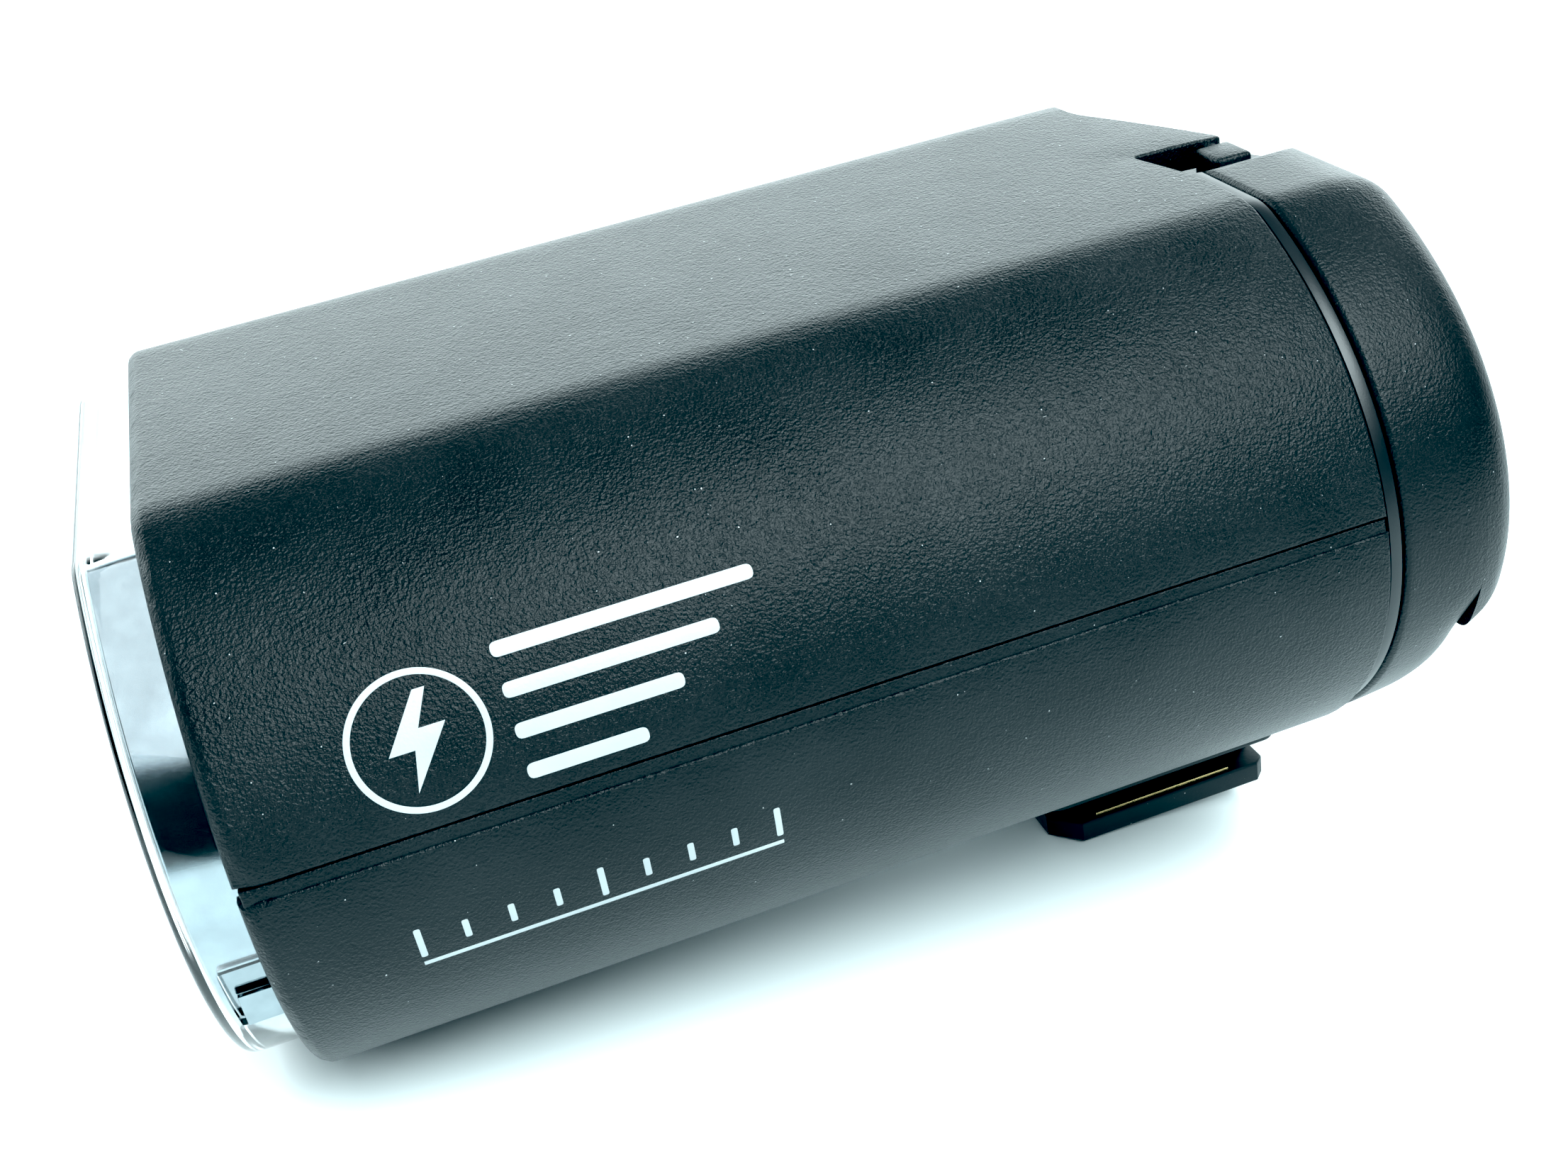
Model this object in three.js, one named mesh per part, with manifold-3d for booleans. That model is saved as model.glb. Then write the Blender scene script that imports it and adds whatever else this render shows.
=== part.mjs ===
// A camera-shoe speedlight flash: an oval barrel with a clear front window, a hinged rear battery hatch
// and a shoe foot. Millimetres, +Z up, window faces -X, origin in the middle of the foot's underside.
import * as THREE from "three";
import { mergeVertices } from "three/addons/utils/BufferGeometryUtils.js";
import Module from "manifold-3d";

const wasm = await Module();
wasm.setup();

// ---- Driving dimensions. Stations run from x = 0 at the case's front edge, heights from its mid-line.
const GAP = 0.3; // between pieces that touch on the real object
const HALF_WIDTH = 33; // of the case
const UPPER_RISE = 25.8; // semi-axes of the case's two half ellipses
const LOWER_RISE = 25.4;
const TOP_FLAT = 22.6; // height of the flat top, and depth of the flat underside
const BOTTOM_FLAT = 24.8;
const EDGE_FILLET = 6;
const CASE_LENGTH = 79.3;
const WALL = 2;
const SEAM = 3.9; // height of the joint between the two case halves
const COLLAR = { front: CASE_LENGTH + GAP, rear: 80.6, inset: 0.5, bore: 4 };
const WINDOW = { front: -4.4, rear: 5, inset: WALL + 0.35, wall: 1.6 };
const MOUTH = { width: 22.5, height: 12.5, corner: 4, x: -1 }; // half sizes of the reflector's mouth
const TUBE = { x: 20, radius: 1.75, half: 21.6 };
const CELL = { radius: 7.15, front: 29, length: 50.5, bore: 7.4, pitch: 15.4, y: 8.5 };
const CAGE = { front: 25, rear: 78.8, wall: 0.8, inset: 2.7 };
const CAPACITOR = { radius: 10.5, y: -18.2, z: -0.5, front: 28, rear: 66 };
const BOARD = { bottom: 17.4, thickness: 1.6, halfWidth: 14.5, front: 26, rear: 76 };
const HATCH = { front: 80.9, rear: 91.4, lowerRear: 87.5, step: -8.9 };
const CAVITY = { rear: 88.4, top: 17.2, floor: 83.2 }; // inside the hatch
const RIDGE = { y: -6.6, z: 22.2, foot: 0.3, floor: 19.1 }; // edge of its flat top, by the hinge recess
const CORNER = { x: 85.6, y: -0.9, z: 22.3, turn: 24.9, fall: 35, wall: 2.4 }; // its far top slope
const HINGE = { x: 84.4, z: 21.45, pin: 0.55, hole: 0.62, near: -5, far: 0 };
const TONGUE = { near: -1.5, far: 13.5, tip: 85.6, bottom: 20.4 };
const LATCH = { top: -9.3, bottom: -13.5, front: 85.1, rear: 88, travel: 1.5, rib: 0.45, ribs: 4 };
const DISC = { radius: 11.2, z: 5, front: 90.1, rear: 91.1, hub: 2.2, bore: 1.3, finger: 7.8 };
const PANEL = { x: 40, z: -6, depth: 1.5, halfLength: 18, halfHeight: 7.2, plate: 1.4 };
const SOCKET = { x: -27, radius: 3, hole: 3.4 }; // the panel's controls run from its middle
const SWITCH = { x: -11.5, slot: 4.6, knob: 2, travel: 4 };
const SELECTOR = { x: 12, slot: 4.6, knob: 1.5, travel: 6 };
const BUTTON = { x: -1, radius: 2.9 };
const LAMP = { x: 5, radius: 1.4 };
const FOOT = { front: 62.1, rear: 82.6, halfWidth: 9.3, bottom: -34.3, plate: 2, neck: 6.2, chamfer: 2.4 };
const PEDESTAL = { bottom: -29.9, front: 61, rear: 83.4, halfWidth: 9.8 };
const CONTACT = { x: 69.1, radius: 1.2, hole: 1.6, sunk: 0.02 };
const CASE_SCREWS = [[33, -13], [33, 13], [56, -13], [56, 13]];
const FOOT_SCREWS = [[78, -3.4], [78, 3.4]];

// ---- Finishes
const finish = (color, roughness, metalness = 0) => ({ color, roughness, metalness });
const BLACK_PLASTIC = finish(0x1b1f21, 0.62);
const SMOOTH_BLACK = finish(0x17191b, 0.45);
const CLEAR = finish(0xe6eef0, 0.05);
const CHROME = finish(0xd5dadd, 0.12, 1);
const STEEL = finish(0xa9adb0, 0.35, 1);
const BRASS = finish(0xc9a24d, 0.35, 1);
const GREEN_BOARD = finish(0x2f6b45, 0.5);
const GREY_PLASTIC = finish(0x7c8184, 0.6);
const WHITE_PLASTIC = finish(0xe4e6e4, 0.5);
const RUBBER = finish(0x8d3b2a, 0.8);
const SLEEVE = finish(0x23324a, 0.35);
const COPPER = finish(0xb46a3c, 0.4, 1);
const RED_LENS = finish(0xb02a1e, 0.1);

// ---- Solids
function solid(geometry) {
  const plain = geometry.clone();
  plain.deleteAttribute("normal");
  plain.deleteAttribute("uv");
  const merged = mergeVertices(plain, 1e-4);
  return new wasm.Manifold(
    new wasm.Mesh({
      numProp: 3,
      vertProperties: merged.attributes.position.array,
      triVerts: new Uint32Array(merged.index.array),
    }),
  );
}

function geometryOf(shape) {
  const { numProp, numVert, vertProperties, triVerts } = shape.getMesh();
  const positions = new Float32Array(numVert * 3);
  for (let i = 0; i < numVert; i++) {
    positions.set(vertProperties.subarray(i * numProp, i * numProp + 3), i * 3);
  }
  const indexed = new THREE.BufferGeometry();
  indexed.setAttribute("position", new THREE.BufferAttribute(positions, 3));
  indexed.setIndex(new THREE.BufferAttribute(new Uint32Array(triVerts), 1));
  const faceted = indexed.toNonIndexed();
  faceted.computeVertexNormals();
  return faceted;
}

function block([x0, x1], [y0, y1], [z0, z1]) {
  const box = new THREE.BoxGeometry(x1 - x0, y1 - y0, z1 - z0);
  return solid(box.translate((x0 + x1) / 2, (y0 + y1) / 2, (z0 + z1) / 2));
}

// A cylinder along one axis, between two stations on it; the other two places follow in x, y, z order.
function rod(axis, radius, [from, to], [a, b], sides = 20) {
  const cylinder = new THREE.CylinderGeometry(radius, radius, to - from, sides);
  const middle = (from + to) / 2;
  if (axis === "x") return solid(cylinder.rotateZ(-Math.PI / 2).translate(middle, a, b));
  if (axis === "y") return solid(cylinder.translate(a, middle, b));
  return solid(cylinder.rotateX(Math.PI / 2).translate(a, b, middle));
}

// A flat outline of [x, y] points, raised between two heights.
function prism(points, [z0, z1]) {
  const outline = new THREE.Shape(points.map(([x, y]) => new THREE.Vector2(x, y)));
  const raised = new THREE.ExtrudeGeometry(outline, { depth: z1 - z0, bevelEnabled: false });
  return solid(raised.translate(0, 0, z0));
}

// An upright outline of [x, z] points, carried across the case between two y stations.
function slab(points, [y0, y1]) {
  const outline = new THREE.Shape(points.map(([x, z]) => new THREE.Vector2(x, z)));
  const raised = new THREE.ExtrudeGeometry(outline, { depth: y1 - y0, bevelEnabled: false });
  return solid(raised.rotateX(Math.PI / 2).translate(0, y1, 0));
}

// A closed skin through rings of [y, z] points at rising x stations, with a flat face at each end.
function skin(sections) {
  const count = sections[0].ring.length;
  const positions = [];
  const faces = [];
  for (const { x, ring } of sections) ring.forEach(([y, z]) => positions.push(x, y, z));
  for (let s = 0; s + 1 < sections.length; s++) {
    for (let i = 0; i < count; i++) {
      const a = s * count + i;
      const b = s * count + ((i + 1) % count);
      faces.push(a, b, a + count, b, b + count, a + count);
    }
  }
  const last = (sections.length - 1) * count;
  for (let i = 1; i + 1 < count; i++) {
    faces.push(0, i + 1, i);
    faces.push(last, last + i, last + i + 1);
  }
  const geometry = new THREE.BufferGeometry();
  geometry.setAttribute("position", new THREE.Float32BufferAttribute(positions, 3));
  return solid(geometry.setIndex(faces));
}

// ---- The case's section: two half ellipses cut by the flats, with rounded edges between.
function quarter(rise, flat) {
  const at = (t) => {
    const point = new THREE.Vector2(HALF_WIDTH * Math.cos(t), rise * Math.sin(t));
    const normal = new THREE.Vector2(Math.cos(t) / HALF_WIDTH, Math.sin(t) / rise).normalize();
    return { point, normal };
  };
  let low = 0;
  let high = Math.PI / 2;
  while (high - low > 1e-6) {
    const t = (low + high) / 2;
    const { point, normal } = at(t);
    if (point.y - EDGE_FILLET * normal.y < flat - EDGE_FILLET) low = t;
    else high = t;
  }
  const arcSteps = 9;
  const filletSteps = 3;
  const samples = Array.from({ length: arcSteps + 1 }, (_, i) => at((low * i) / arcSteps));
  const { point, normal } = at(low);
  const centre = point.clone().addScaledVector(normal, -EDGE_FILLET);
  const start = normal.angle();
  for (let i = 1; i <= filletSteps; i++) {
    const angle = start + ((Math.PI / 2 - start) * i) / filletSteps;
    const out = new THREE.Vector2(Math.cos(angle), Math.sin(angle));
    samples.push({ point: centre.clone().addScaledVector(out, EDGE_FILLET), normal: out });
  }
  return samples.map((s) => [s.point.x, s.point.y, s.normal.x, s.normal.y]);
}

const UPPER = quarter(UPPER_RISE, TOP_FLAT);
const LOWER = quarter(LOWER_RISE, BOTTOM_FLAT);
const flip = (list, sy, sz) => list.map(([y, z, ny, nz]) => [y * sy, z * sz, ny * sy, nz * sz]);
const SECTION = [
  ...UPPER,
  ...flip(UPPER, -1, 1).reverse().slice(0, -1),
  ...flip(LOWER, -1, -1),
  ...flip(LOWER, 1, -1).reverse().slice(0, -1),
];

const outline = (inset) => SECTION.map(([y, z, ny, nz]) => [y - ny * inset, z - nz * inset]);
// A solid whose section is the case's, drawn in by an inset at each x station.
const barrel = (...stations) => skin(stations.map(([x, inset]) => ({ x, ring: outline(inset) })));

function roundedRectangle(halfY, halfZ, corner) {
  const shape = new THREE.Shape();
  const quarters = [[1, 1, 0], [-1, 1, 0.5], [-1, -1, 1], [1, -1, 1.5]];
  for (const [sy, sz, start] of quarters) {
    const from = start * Math.PI;
    shape.absarc(sy * (halfY - corner), sz * (halfZ - corner), corner, from, from + Math.PI / 2);
  }
  return shape.getPoints(4).map(({ x, y }) => [x, y]).filter(distinct);
}

function distinct([y, z], i, all) {
  const [py, pz] = all[(i + all.length - 1) % all.length];
  return Math.hypot(y - py, z - pz) > 1e-3;
}

// ---- The assembly
const flash = new THREE.Group();
flash.position.set(-(FOOT.front + FOOT.rear) / 2, 0, -FOOT.bottom);

function add(name, shape, look, parent = flash) {
  const mesh = new THREE.Mesh(geometryOf(shape), new THREE.MeshStandardMaterial(look));
  mesh.name = name;
  parent.add(mesh);
}

function spring(axis, radius, wire, turns, [from, to], [a, b]) {
  class Coil extends THREE.Curve {
    getPoint(t) {
      const along = from + wire + (to - from - 2 * wire) * t;
      const u = radius * Math.cos(2 * Math.PI * turns * t);
      const v = radius * Math.sin(2 * Math.PI * turns * t);
      if (axis === "x") return new THREE.Vector3(along, a + u, b + v);
      if (axis === "y") return new THREE.Vector3(a + u, along, b + v);
      return new THREE.Vector3(a + u, b + v, along);
    }
  }
  return strand(new Coil(), wire, Math.round(turns * 9));
}

function strand(path, radius, steps) {
  const sides = 6;
  const corners = Array.from({ length: sides }, (_, i) => {
    const angle = (2 * Math.PI * i) / sides;
    return new THREE.Vector2(radius * Math.cos(angle), radius * Math.sin(angle));
  });
  const shape = new THREE.Shape(corners);
  return solid(new THREE.ExtrudeGeometry(shape, { steps, bevelEnabled: false, extrudePath: path }));
}

// The control panel's own frame: local y points out of the case, local x runs along it.
const flank = Math.sqrt(1 - (PANEL.z / LOWER_RISE) ** 2);
const panelAngle = Math.atan2(PANEL.z / LOWER_RISE ** 2, flank / HALF_WIDTH);
const panelFrame = new THREE.Group();
const apex = HALF_WIDTH * flank;
panelFrame.position.set(
  PANEL.x,
  apex - PANEL.depth * Math.cos(panelAngle),
  PANEL.z - PANEL.depth * Math.sin(panelAngle),
);
panelFrame.rotation.x = panelAngle;
flash.add(panelFrame);

function intoCase(shape) {
  panelFrame.updateMatrix();
  return shape.transform(panelFrame.matrix.elements);
}

const WIDE = [-50, 50];
const caseRear = [[CASE_LENGTH - 0.3, 0], [CASE_LENGTH, 0.3]];
const caseTube = () => barrel([0, 0.9], [0.5, 0.25], [1.3, 0], ...caseRear);
const caseBore = () => barrel([-1, WALL], [CASE_LENGTH + 1, WALL]);
const casePart = (heights) => caseTube().subtract(caseBore()).intersect(block([-5, 100], WIDE, heights));

// Everything above the slope that takes off the hatch's far top corner, the slope lowered by a drop.
function aboveCorner(drop = 0) {
  const box = new THREE.BoxGeometry(200, 200, 60).translate(0, 0, 30);
  box.rotateY(THREE.MathUtils.degToRad(CORNER.fall)).rotateZ(THREE.MathUtils.degToRad(CORNER.turn));
  return solid(box.translate(CORNER.x, CORNER.y, CORNER.z - drop));
}

function upperShell() {
  const half = casePart([SEAM + GAP / 2, 40]);
  const notch = prism([[77.7, TONGUE.near], [81, TONGUE.near], [81, -8.5], [79.2, -8.5]], [15, 30]);
  const { near, far, tip, bottom } = TONGUE;
  const plan = [[77, near], [tip, near], [tip, near + 0.6], [78.9, far], [77, far]];
  const tongue = prism(plan, [bottom, TOP_FLAT]);
  const bore = rod("y", HINGE.hole, [-3, HINGE.far + GAP], [HINGE.x, HINGE.z], 12);
  return half.subtract(notch).add(tongue).subtract(bore);
}

function lowerShell() {
  let half = casePart([-40, SEAM - GAP / 2]);
  for (const [x, y] of CASE_SCREWS) {
    const boss = rod("z", 4, [-24, -19.5], [x, y]).intersect(barrel([0, 1], [CASE_LENGTH, 1]));
    const well = rod("z", 3, [-30, -21.2], [x, y]);
    half = half.add(boss).subtract(well).subtract(rod("z", 1.4, [-30, 0], [x, y]));
  }
  const { halfLength, halfHeight } = PANEL;
  const opening = block([-halfLength, halfLength], [-6, 6], [-halfHeight, halfHeight]);
  const jackHole = rod("y", SOCKET.hole, [-6, 6], [SOCKET.x, 0]);
  return half.subtract(intoCase(opening)).subtract(intoCase(jackHole));
}

function caseScrew(x, y) {
  const driver = block([x - 2, x + 2], [y - 0.3, y + 0.3], [-23, -22.3]);
  const shank = rod("z", 1, [-21.6, -16.4], [x, y], 12);
  return rod("z", 2.6, [-22.8, -21.5], [x, y]).subtract(driver).add(shank);
}

function shells() {
  add("upper_shell", upperShell(), BLACK_PLASTIC);
  add("lower_shell", lowerShell(), BLACK_PLASTIC);
  const { front, rear, inset, bore } = COLLAR;
  const relief = block([front - 1, rear + 1], [-7, TONGUE.far + 1], [TONGUE.bottom - GAP, 30]);
  const hookPath = block([front - 1, rear + 1], [-14, -7], [-20.9, -10]);
  const ring = barrel([front, inset], [rear, inset]).subtract(barrel([front - 1, bore], [rear + 1, bore]));
  add("collar_ring", ring.subtract(relief).subtract(hookPath).subtract(aboveCorner()), SMOOTH_BLACK);
  CASE_SCREWS.forEach(([x, y], i) => add(`case_screw_${i + 1}`, caseScrew(x, y), STEEL));
}

// A straight block whose section is a rounded rectangle, between two x stations.
function lozenge(stations, halfY, halfZ, corner) {
  return skin(stations.map((x) => ({ x, ring: roundedRectangle(halfY, halfZ, corner) })));
}

function frontWindow() {
  const { front, rear, inset, wall } = WINDOW;
  const nose = [[front, inset + 1.2], [front + 0.3, inset + 0.5], [front + 1, inset + 0.1]];
  const cup = barrel(...nose, [0, inset], [rear, inset]);
  const bore = inset + wall;
  const hollow = barrel([front + wall, bore + 0.5], [front + wall + 0.5, bore], [rear + 1, bore]);
  const snaps = block([-3, 0.6], WIDE, [-8.2, -2.4]);
  add("front_window", cup.subtract(hollow).subtract(snaps), CLEAR);
}

function frontFrame() {
  const { inset, wall } = WINDOW;
  const band = inset + wall + 0.35;
  const opening = lozenge([-5, 5], MOUTH.width, MOUTH.height, MOUTH.corner);
  const frame = barrel([-2.4, band + 0.3], [-2.1, band], [4.6, band]);
  const inside = barrel([MOUTH.x, band + 0.9], [6, band + 0.9]);
  const sensorHole = rod("x", 2.5, [-5, 6], [0, -16.6]);
  const tabs = [-1, 1].map((side) => {
    const reach = side < 0 ? [-30, -26.6] : [26.6, 30];
    return block([-2.6, 0.2], reach, [-7.8, -2.8]).intersect(barrel([-5, inset + 0.5], [5, inset + 0.5]));
  });
  const framed = frame.subtract(inside).add(tabs[0]).add(tabs[1]).subtract(opening).subtract(sensorHole);
  add("reflector_frame", framed, CHROME);
  add("sensor_lens", rod("x", 2.2, [-2.2, 1.6], [0, -16.6]), SMOOTH_BLACK);
}

// The reflector's trough: parabolic above and below the tube, tapering at the sides.
function trough(extra) {
  const mouth = MOUTH.x + GAP;
  const vertex = 22.5 + extra;
  const stations = [mouth, 3, 7, 11, 15, 18.5, 21, vertex];
  const height = MOUTH.height - 0.4;
  return skin(
    stations.map((x) => {
      const depth = Math.min(1, (22.5 - Math.min(x, 22.4)) / (22.5 - mouth));
      const halfZ = height * Math.sqrt(Math.max(depth, 0.006)) + extra;
      const halfY = 16 + 6.1 * depth + extra;
      return { x, ring: roundedRectangle(halfY, halfZ, Math.min(3.5, halfZ * 0.8)) };
    }),
  );
}

function lightUnit() {
  const sheet = 0.7;
  const mouth = MOUTH.x + GAP;
  const flange = lozenge([mouth, mouth + sheet], MOUTH.width + 0.9, MOUTH.height + 0.7, 4.5);
  const lead = lozenge([mouth - 1, mouth + 1], MOUTH.width - 0.4, MOUTH.height - 0.4, 3.5);
  const ends = rod("y", TUBE.radius + 0.35, [-30, 30], [TUBE.x, 0], 16);
  add("reflector", trough(sheet).add(flange).subtract(trough(0)).subtract(lead).subtract(ends), CHROME);
  add("flash_tube", rod("y", TUBE.radius, [-TUBE.half, TUBE.half], [TUBE.x, 0], 16), CLEAR);
  for (const [side, name] of [[-1, "near"], [1, "far"]]) {
    const span = (from, to) => [Math.min(side * from, side * to), Math.max(side * from, side * to)];
    const cap = rod("y", 1.6, span(TUBE.half + GAP, TUBE.half + 2.4), [TUBE.x, 0], 12);
    const pin = rod("y", 0.4, span(TUBE.half + 2.3, TUBE.half + 4.6), [TUBE.x, 0], 8);
    add(`tube_electrode_${name}`, cap.add(pin), STEEL);
    const boot = rod("y", 3.4, span(18.9, 21.1), [TUBE.x, 0], 16);
    const bore = rod("y", TUBE.radius + GAP, span(18, 22), [TUBE.x, 0], 16);
    add(`tube_boot_${name}`, boot.subtract(bore), RUBBER);
  }
}

const CELLS = [
  { y: CELL.y - CELL.pitch / 2, z: CELL.pitch / 2, rearwards: true },
  { y: CELL.y - CELL.pitch / 2, z: -CELL.pitch / 2, rearwards: false },
  { y: CELL.y + CELL.pitch / 2, z: -CELL.pitch / 2, rearwards: true },
  { y: CELL.y + CELL.pitch / 2, z: CELL.pitch / 2, rearwards: false },
];

const screwsOn = (side) => CASE_SCREWS.filter(([, y]) => Math.sign(y) === side);
const cageRoom = () => barrel([0, CAGE.inset], [CASE_LENGTH, CAGE.inset]);

function batteryCage() {
  const reach = CELL.bore + CAGE.wall;
  const [left, right] = [CELLS[0].y - reach, CELLS[2].y + reach];
  const top = CELL.pitch / 2 + reach;
  let cage = block([CAGE.front, CAGE.rear], [left, right], [-top, top]).intersect(cageRoom());
  for (const { y, z } of CELLS) {
    cage = cage.subtract(rod("x", CELL.bore, [CAGE.front + 1, 90], [y, z], 24));
  }
  for (const { y } of [CELLS[0], CELLS[2]]) {
    cage = cage.subtract(block([CAGE.front + 1, 27], [y - 4.3, y + 4.3], [-7.5, 7.5]));
  }
  cage = cage.add(block([77, CAGE.rear], [-12.5, left + 0.5], [-16.1, -13.5]));
  for (const [x, y] of screwsOn(1)) {
    cage = cage.add(rod("z", 2.6, [-19.2, -top + 0.5], [x, y], 12));
    cage = cage.subtract(rod("z", 1.4, [-30, -top + 0.4], [x, y], 12));
  }
  add("battery_cage", cage, GREY_PLASTIC);
}

function cells() {
  for (const [i, { y, z, rearwards }] of CELLS.entries()) {
    const [x0, x1] = [CELL.front, CELL.front + CELL.length];
    const can = rearwards ? [x0, x1 - 1.2] : [x0 + 1.2, x1];
    const nub = rearwards ? [x1 - 1.4, x1] : [x0, x0 + 1.4];
    const cell = rod("x", CELL.radius, can, [y, z], 24).add(rod("x", 2.6, nub, [y, z], 12));
    add(`cell_${i + 1}`, cell, SLEEVE);
    const coil = rearwards ? [26.8, CELL.front - 0.2] : [CELL.front + CELL.length + 0.2, 81.2];
    const rise = coil[1] - coil[0];
    add(`cell_spring_${i + 1}`, spring("x", 2.6, 0.25, rise > 1.8 ? 2.5 : 2, coil, [y, z]), STEEL);
  }
  for (const [i, y] of [CELLS[0].y, CELLS[2].y].entries()) {
    const plate = block([26.15, 26.55], [y - 4, y + 4], [-7.2, 7.2]);
    const strip = block([81.5, 81.9], [y - 4, y + 4], [-12, 12]);
    add(`cage_contact_${i + 1}`, plate, STEEL);
    add(`hatch_contact_${i + 1}`, strip, STEEL);
  }
}

function capacitor() {
  const { radius, y, z, front, rear } = CAPACITOR;
  const core = rod("x", radius - 0.5, [front, rear], [y, z], 24);
  const groove = rod("x", radius + 1, [front + 3, front + 5], [y, z]).subtract(core);
  add("main_capacitor", rod("x", radius, [front, rear], [y, z], 24).subtract(groove), SLEEVE);
  const seat = rod("x", radius + GAP, [20, 70], [y, z], 24);
  let cradle = block([30, 60], [y - 4, y + 9], [-19.2, -8]).subtract(seat).intersect(cageRoom());
  for (const [sx, sy] of screwsOn(-1)) cradle = cradle.subtract(rod("z", 1.4, [-30, -13], [sx, sy], 12));
  add("capacitor_cradle", cradle, GREY_PLASTIC);
}

function electronics() {
  const top = BOARD.bottom + BOARD.thickness;
  const across = [-BOARD.halfWidth, BOARD.halfWidth];
  add("circuit_board", block([BOARD.front, BOARD.rear], across, [BOARD.bottom, top]), GREEN_BOARD);
  const under = BOARD.bottom - GAP;
  add("switching_transistor", block([34, 44], [-13.4, -9.2], [12, under]), SMOOTH_BLACK);

  const core = block([67.4, 77.4], [-24, -11], [-8, 6]);
  const winding = rod("x", 6, [68.9, 75.9], [-17.5, -1], 16);
  const frame = core.subtract(block([68.6, 76.2], [-26, -9], [-6, 4]));
  add("transformer_core", frame, STEEL);
  add("transformer_winding", winding.intersect(block([68, 77], [-23, -12], [-5.7, 3.7])), COPPER);

  const spool = rod("x", 2.6, [28, 29], [-1, -18.9], 16).add(rod("x", 2.6, [35, 36], [-1, -18.9], 16));
  add("trigger_coil", spool.add(rod("x", 2, [28.5, 35.5], [-1, -18.9], 16)), COPPER);
  const bends = [[27.6, -1, -18.9], [25, -6, -18.6], [22.5, -15, -13], [20.5, -22.5, -6]];
  const route = [...bends, [TUBE.x, -24.3, -2.4]];
  const path = new THREE.CatmullRomCurve3(route.map((p) => new THREE.Vector3(...p)));
  add("trigger_lead", strand(path, 0.5, 18), RUBBER);
}

// The room behind the ridge where the case's tongue and the hinge lie.
function hingeRecess() {
  const { y, z, foot, floor } = RIDGE;
  const far = TONGUE.far + 1.1;
  const section = [[y, z], [foot, floor], [far, floor], [far, 40], [y, 40]];
  return skin([HATCH.front - 1, 95].map((x) => ({ x, ring: section })));
}

function hatchBlank() {
  const { front, rear, lowerRear, step } = HATCH;
  const lip = [[front, 0.9], [front + 0.4, 0.35]];
  const high = barrel(...lip, [86, 0.7], [88.8, 1.5], [90.3, 2.6], [91.1, 3.7], [rear, 5]);
  const low = barrel(...lip, [85, 0.65], [86.7, 1.2], [lowerRear, 2.4]);
  const under = slab([[85, step], [lowerRear, step], [95, step + 3.2], [95, -40], [85, -40]], WIDE);
  return high.subtract(under).add(low).subtract(hingeRecess()).subtract(aboveCorner());
}

function hatchCavity() {
  const room = barrel([HATCH.front - 1, 2.7], [86, 3], [CAVITY.rear, 4.6]);
  const sole = block([CAVITY.floor, 95], WIDE, [-40, HATCH.step + 3]);
  const roof = block([70, 95], WIDE, [CAVITY.top, 40]);
  return room.subtract(sole).subtract(roof).subtract(aboveCorner(CORNER.wall));
}

function hatch() {
  const { bottom, travel } = LATCH;
  const base = bottom - travel;
  const latchRoom = block([84.8, 95], WIDE, [base - GAP, HATCH.step]);
  const slot = barrel([70, 2.3], [95, 2.3]).intersect(latchRoom);
  const slit = block([80, 86], [-13.4, -7.6], [base + 0.2, -11]);
  const discSeat = rod("x", DISC.radius + 0.5, [DISC.front - GAP, 95], [0, DISC.z], 40);
  const hubHole = rod("x", DISC.bore, [80, 95], [0, DISC.z], 12);
  const ear = block([82.6, 85.6], [HINGE.near - 0.6, TONGUE.near - 0.4], [18, 22.15]);
  const pinHole = rod("y", HINGE.hole, [HINGE.near - 0.2, 2], [HINGE.x, HINGE.z], 12);
  let shell = hatchBlank().subtract(hatchCavity()).subtract(slot).subtract(slit);
  shell = shell.subtract(discSeat).subtract(hubHole).add(ear).subtract(pinHole);
  add("rear_hatch", shell, SMOOTH_BLACK);
  add("hinge_pin", rod("y", HINGE.pin, [HINGE.near, HINGE.far], [HINGE.x, HINGE.z], 12), STEEL);
}

function calculator() {
  const dial = rod("x", DISC.radius, [DISC.front, DISC.rear], [0, DISC.z], 40);
  const bore = rod("x", DISC.bore, [80, 95], [0, DISC.z], 12);
  const finger = rod("x", 2, [DISC.front + 0.5, 95], [0, DISC.z + DISC.finger], 12);
  add("calculator_disc", dial.subtract(bore).subtract(finger), GREY_PLASTIC);
  const stem = rod("x", 1, [87.6, HATCH.rear - 0.2], [0, DISC.z], 12);
  const cap = rod("x", DISC.hub, [DISC.rear + 0.02, HATCH.rear - 0.05], [0, DISC.z]);
  add("calculator_hub", stem.add(cap), STEEL);
}

function latch() {
  const { top, bottom, front, rear, travel, rib, ribs } = LATCH;
  const slot = () => barrel([70, 2.8], [95, 2.8]);
  let bar = block([front, rear], WIDE, [bottom, top]);
  for (let i = 0; i < ribs; i++) bar = bar.add(rod("y", rib, WIDE, [rear + 0.35, top - 0.6 - i], 8));
  bar = bar.intersect(slot()).intersect(slot().translate(0, 0, travel + 0.2));
  const across = [-13, -8];
  const arm = block([81.6, front + 0.5], across, [-13, -11.6]);
  const drop = block([81.6, 82.7], across, [-17.9, -11.6]);
  const hook = block([77.4, 82.7], across, [-17.9, -17]).add(block([77.4, 78.3], across, [-17.9, -16.4]));
  const pocket = block([front + 0.4, rear - 0.5], [11, 13.2], [-30, -11.2]);
  add("hatch_latch", bar.add(arm).add(drop).add(hook).subtract(pocket), BLACK_PLASTIC);
  const base = bottom - travel;
  add("latch_spring", spring("z", 0.7, 0.14, 4, [base - 0.1, -11.5], [86.55, 12.1]), STEEL);
}

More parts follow.
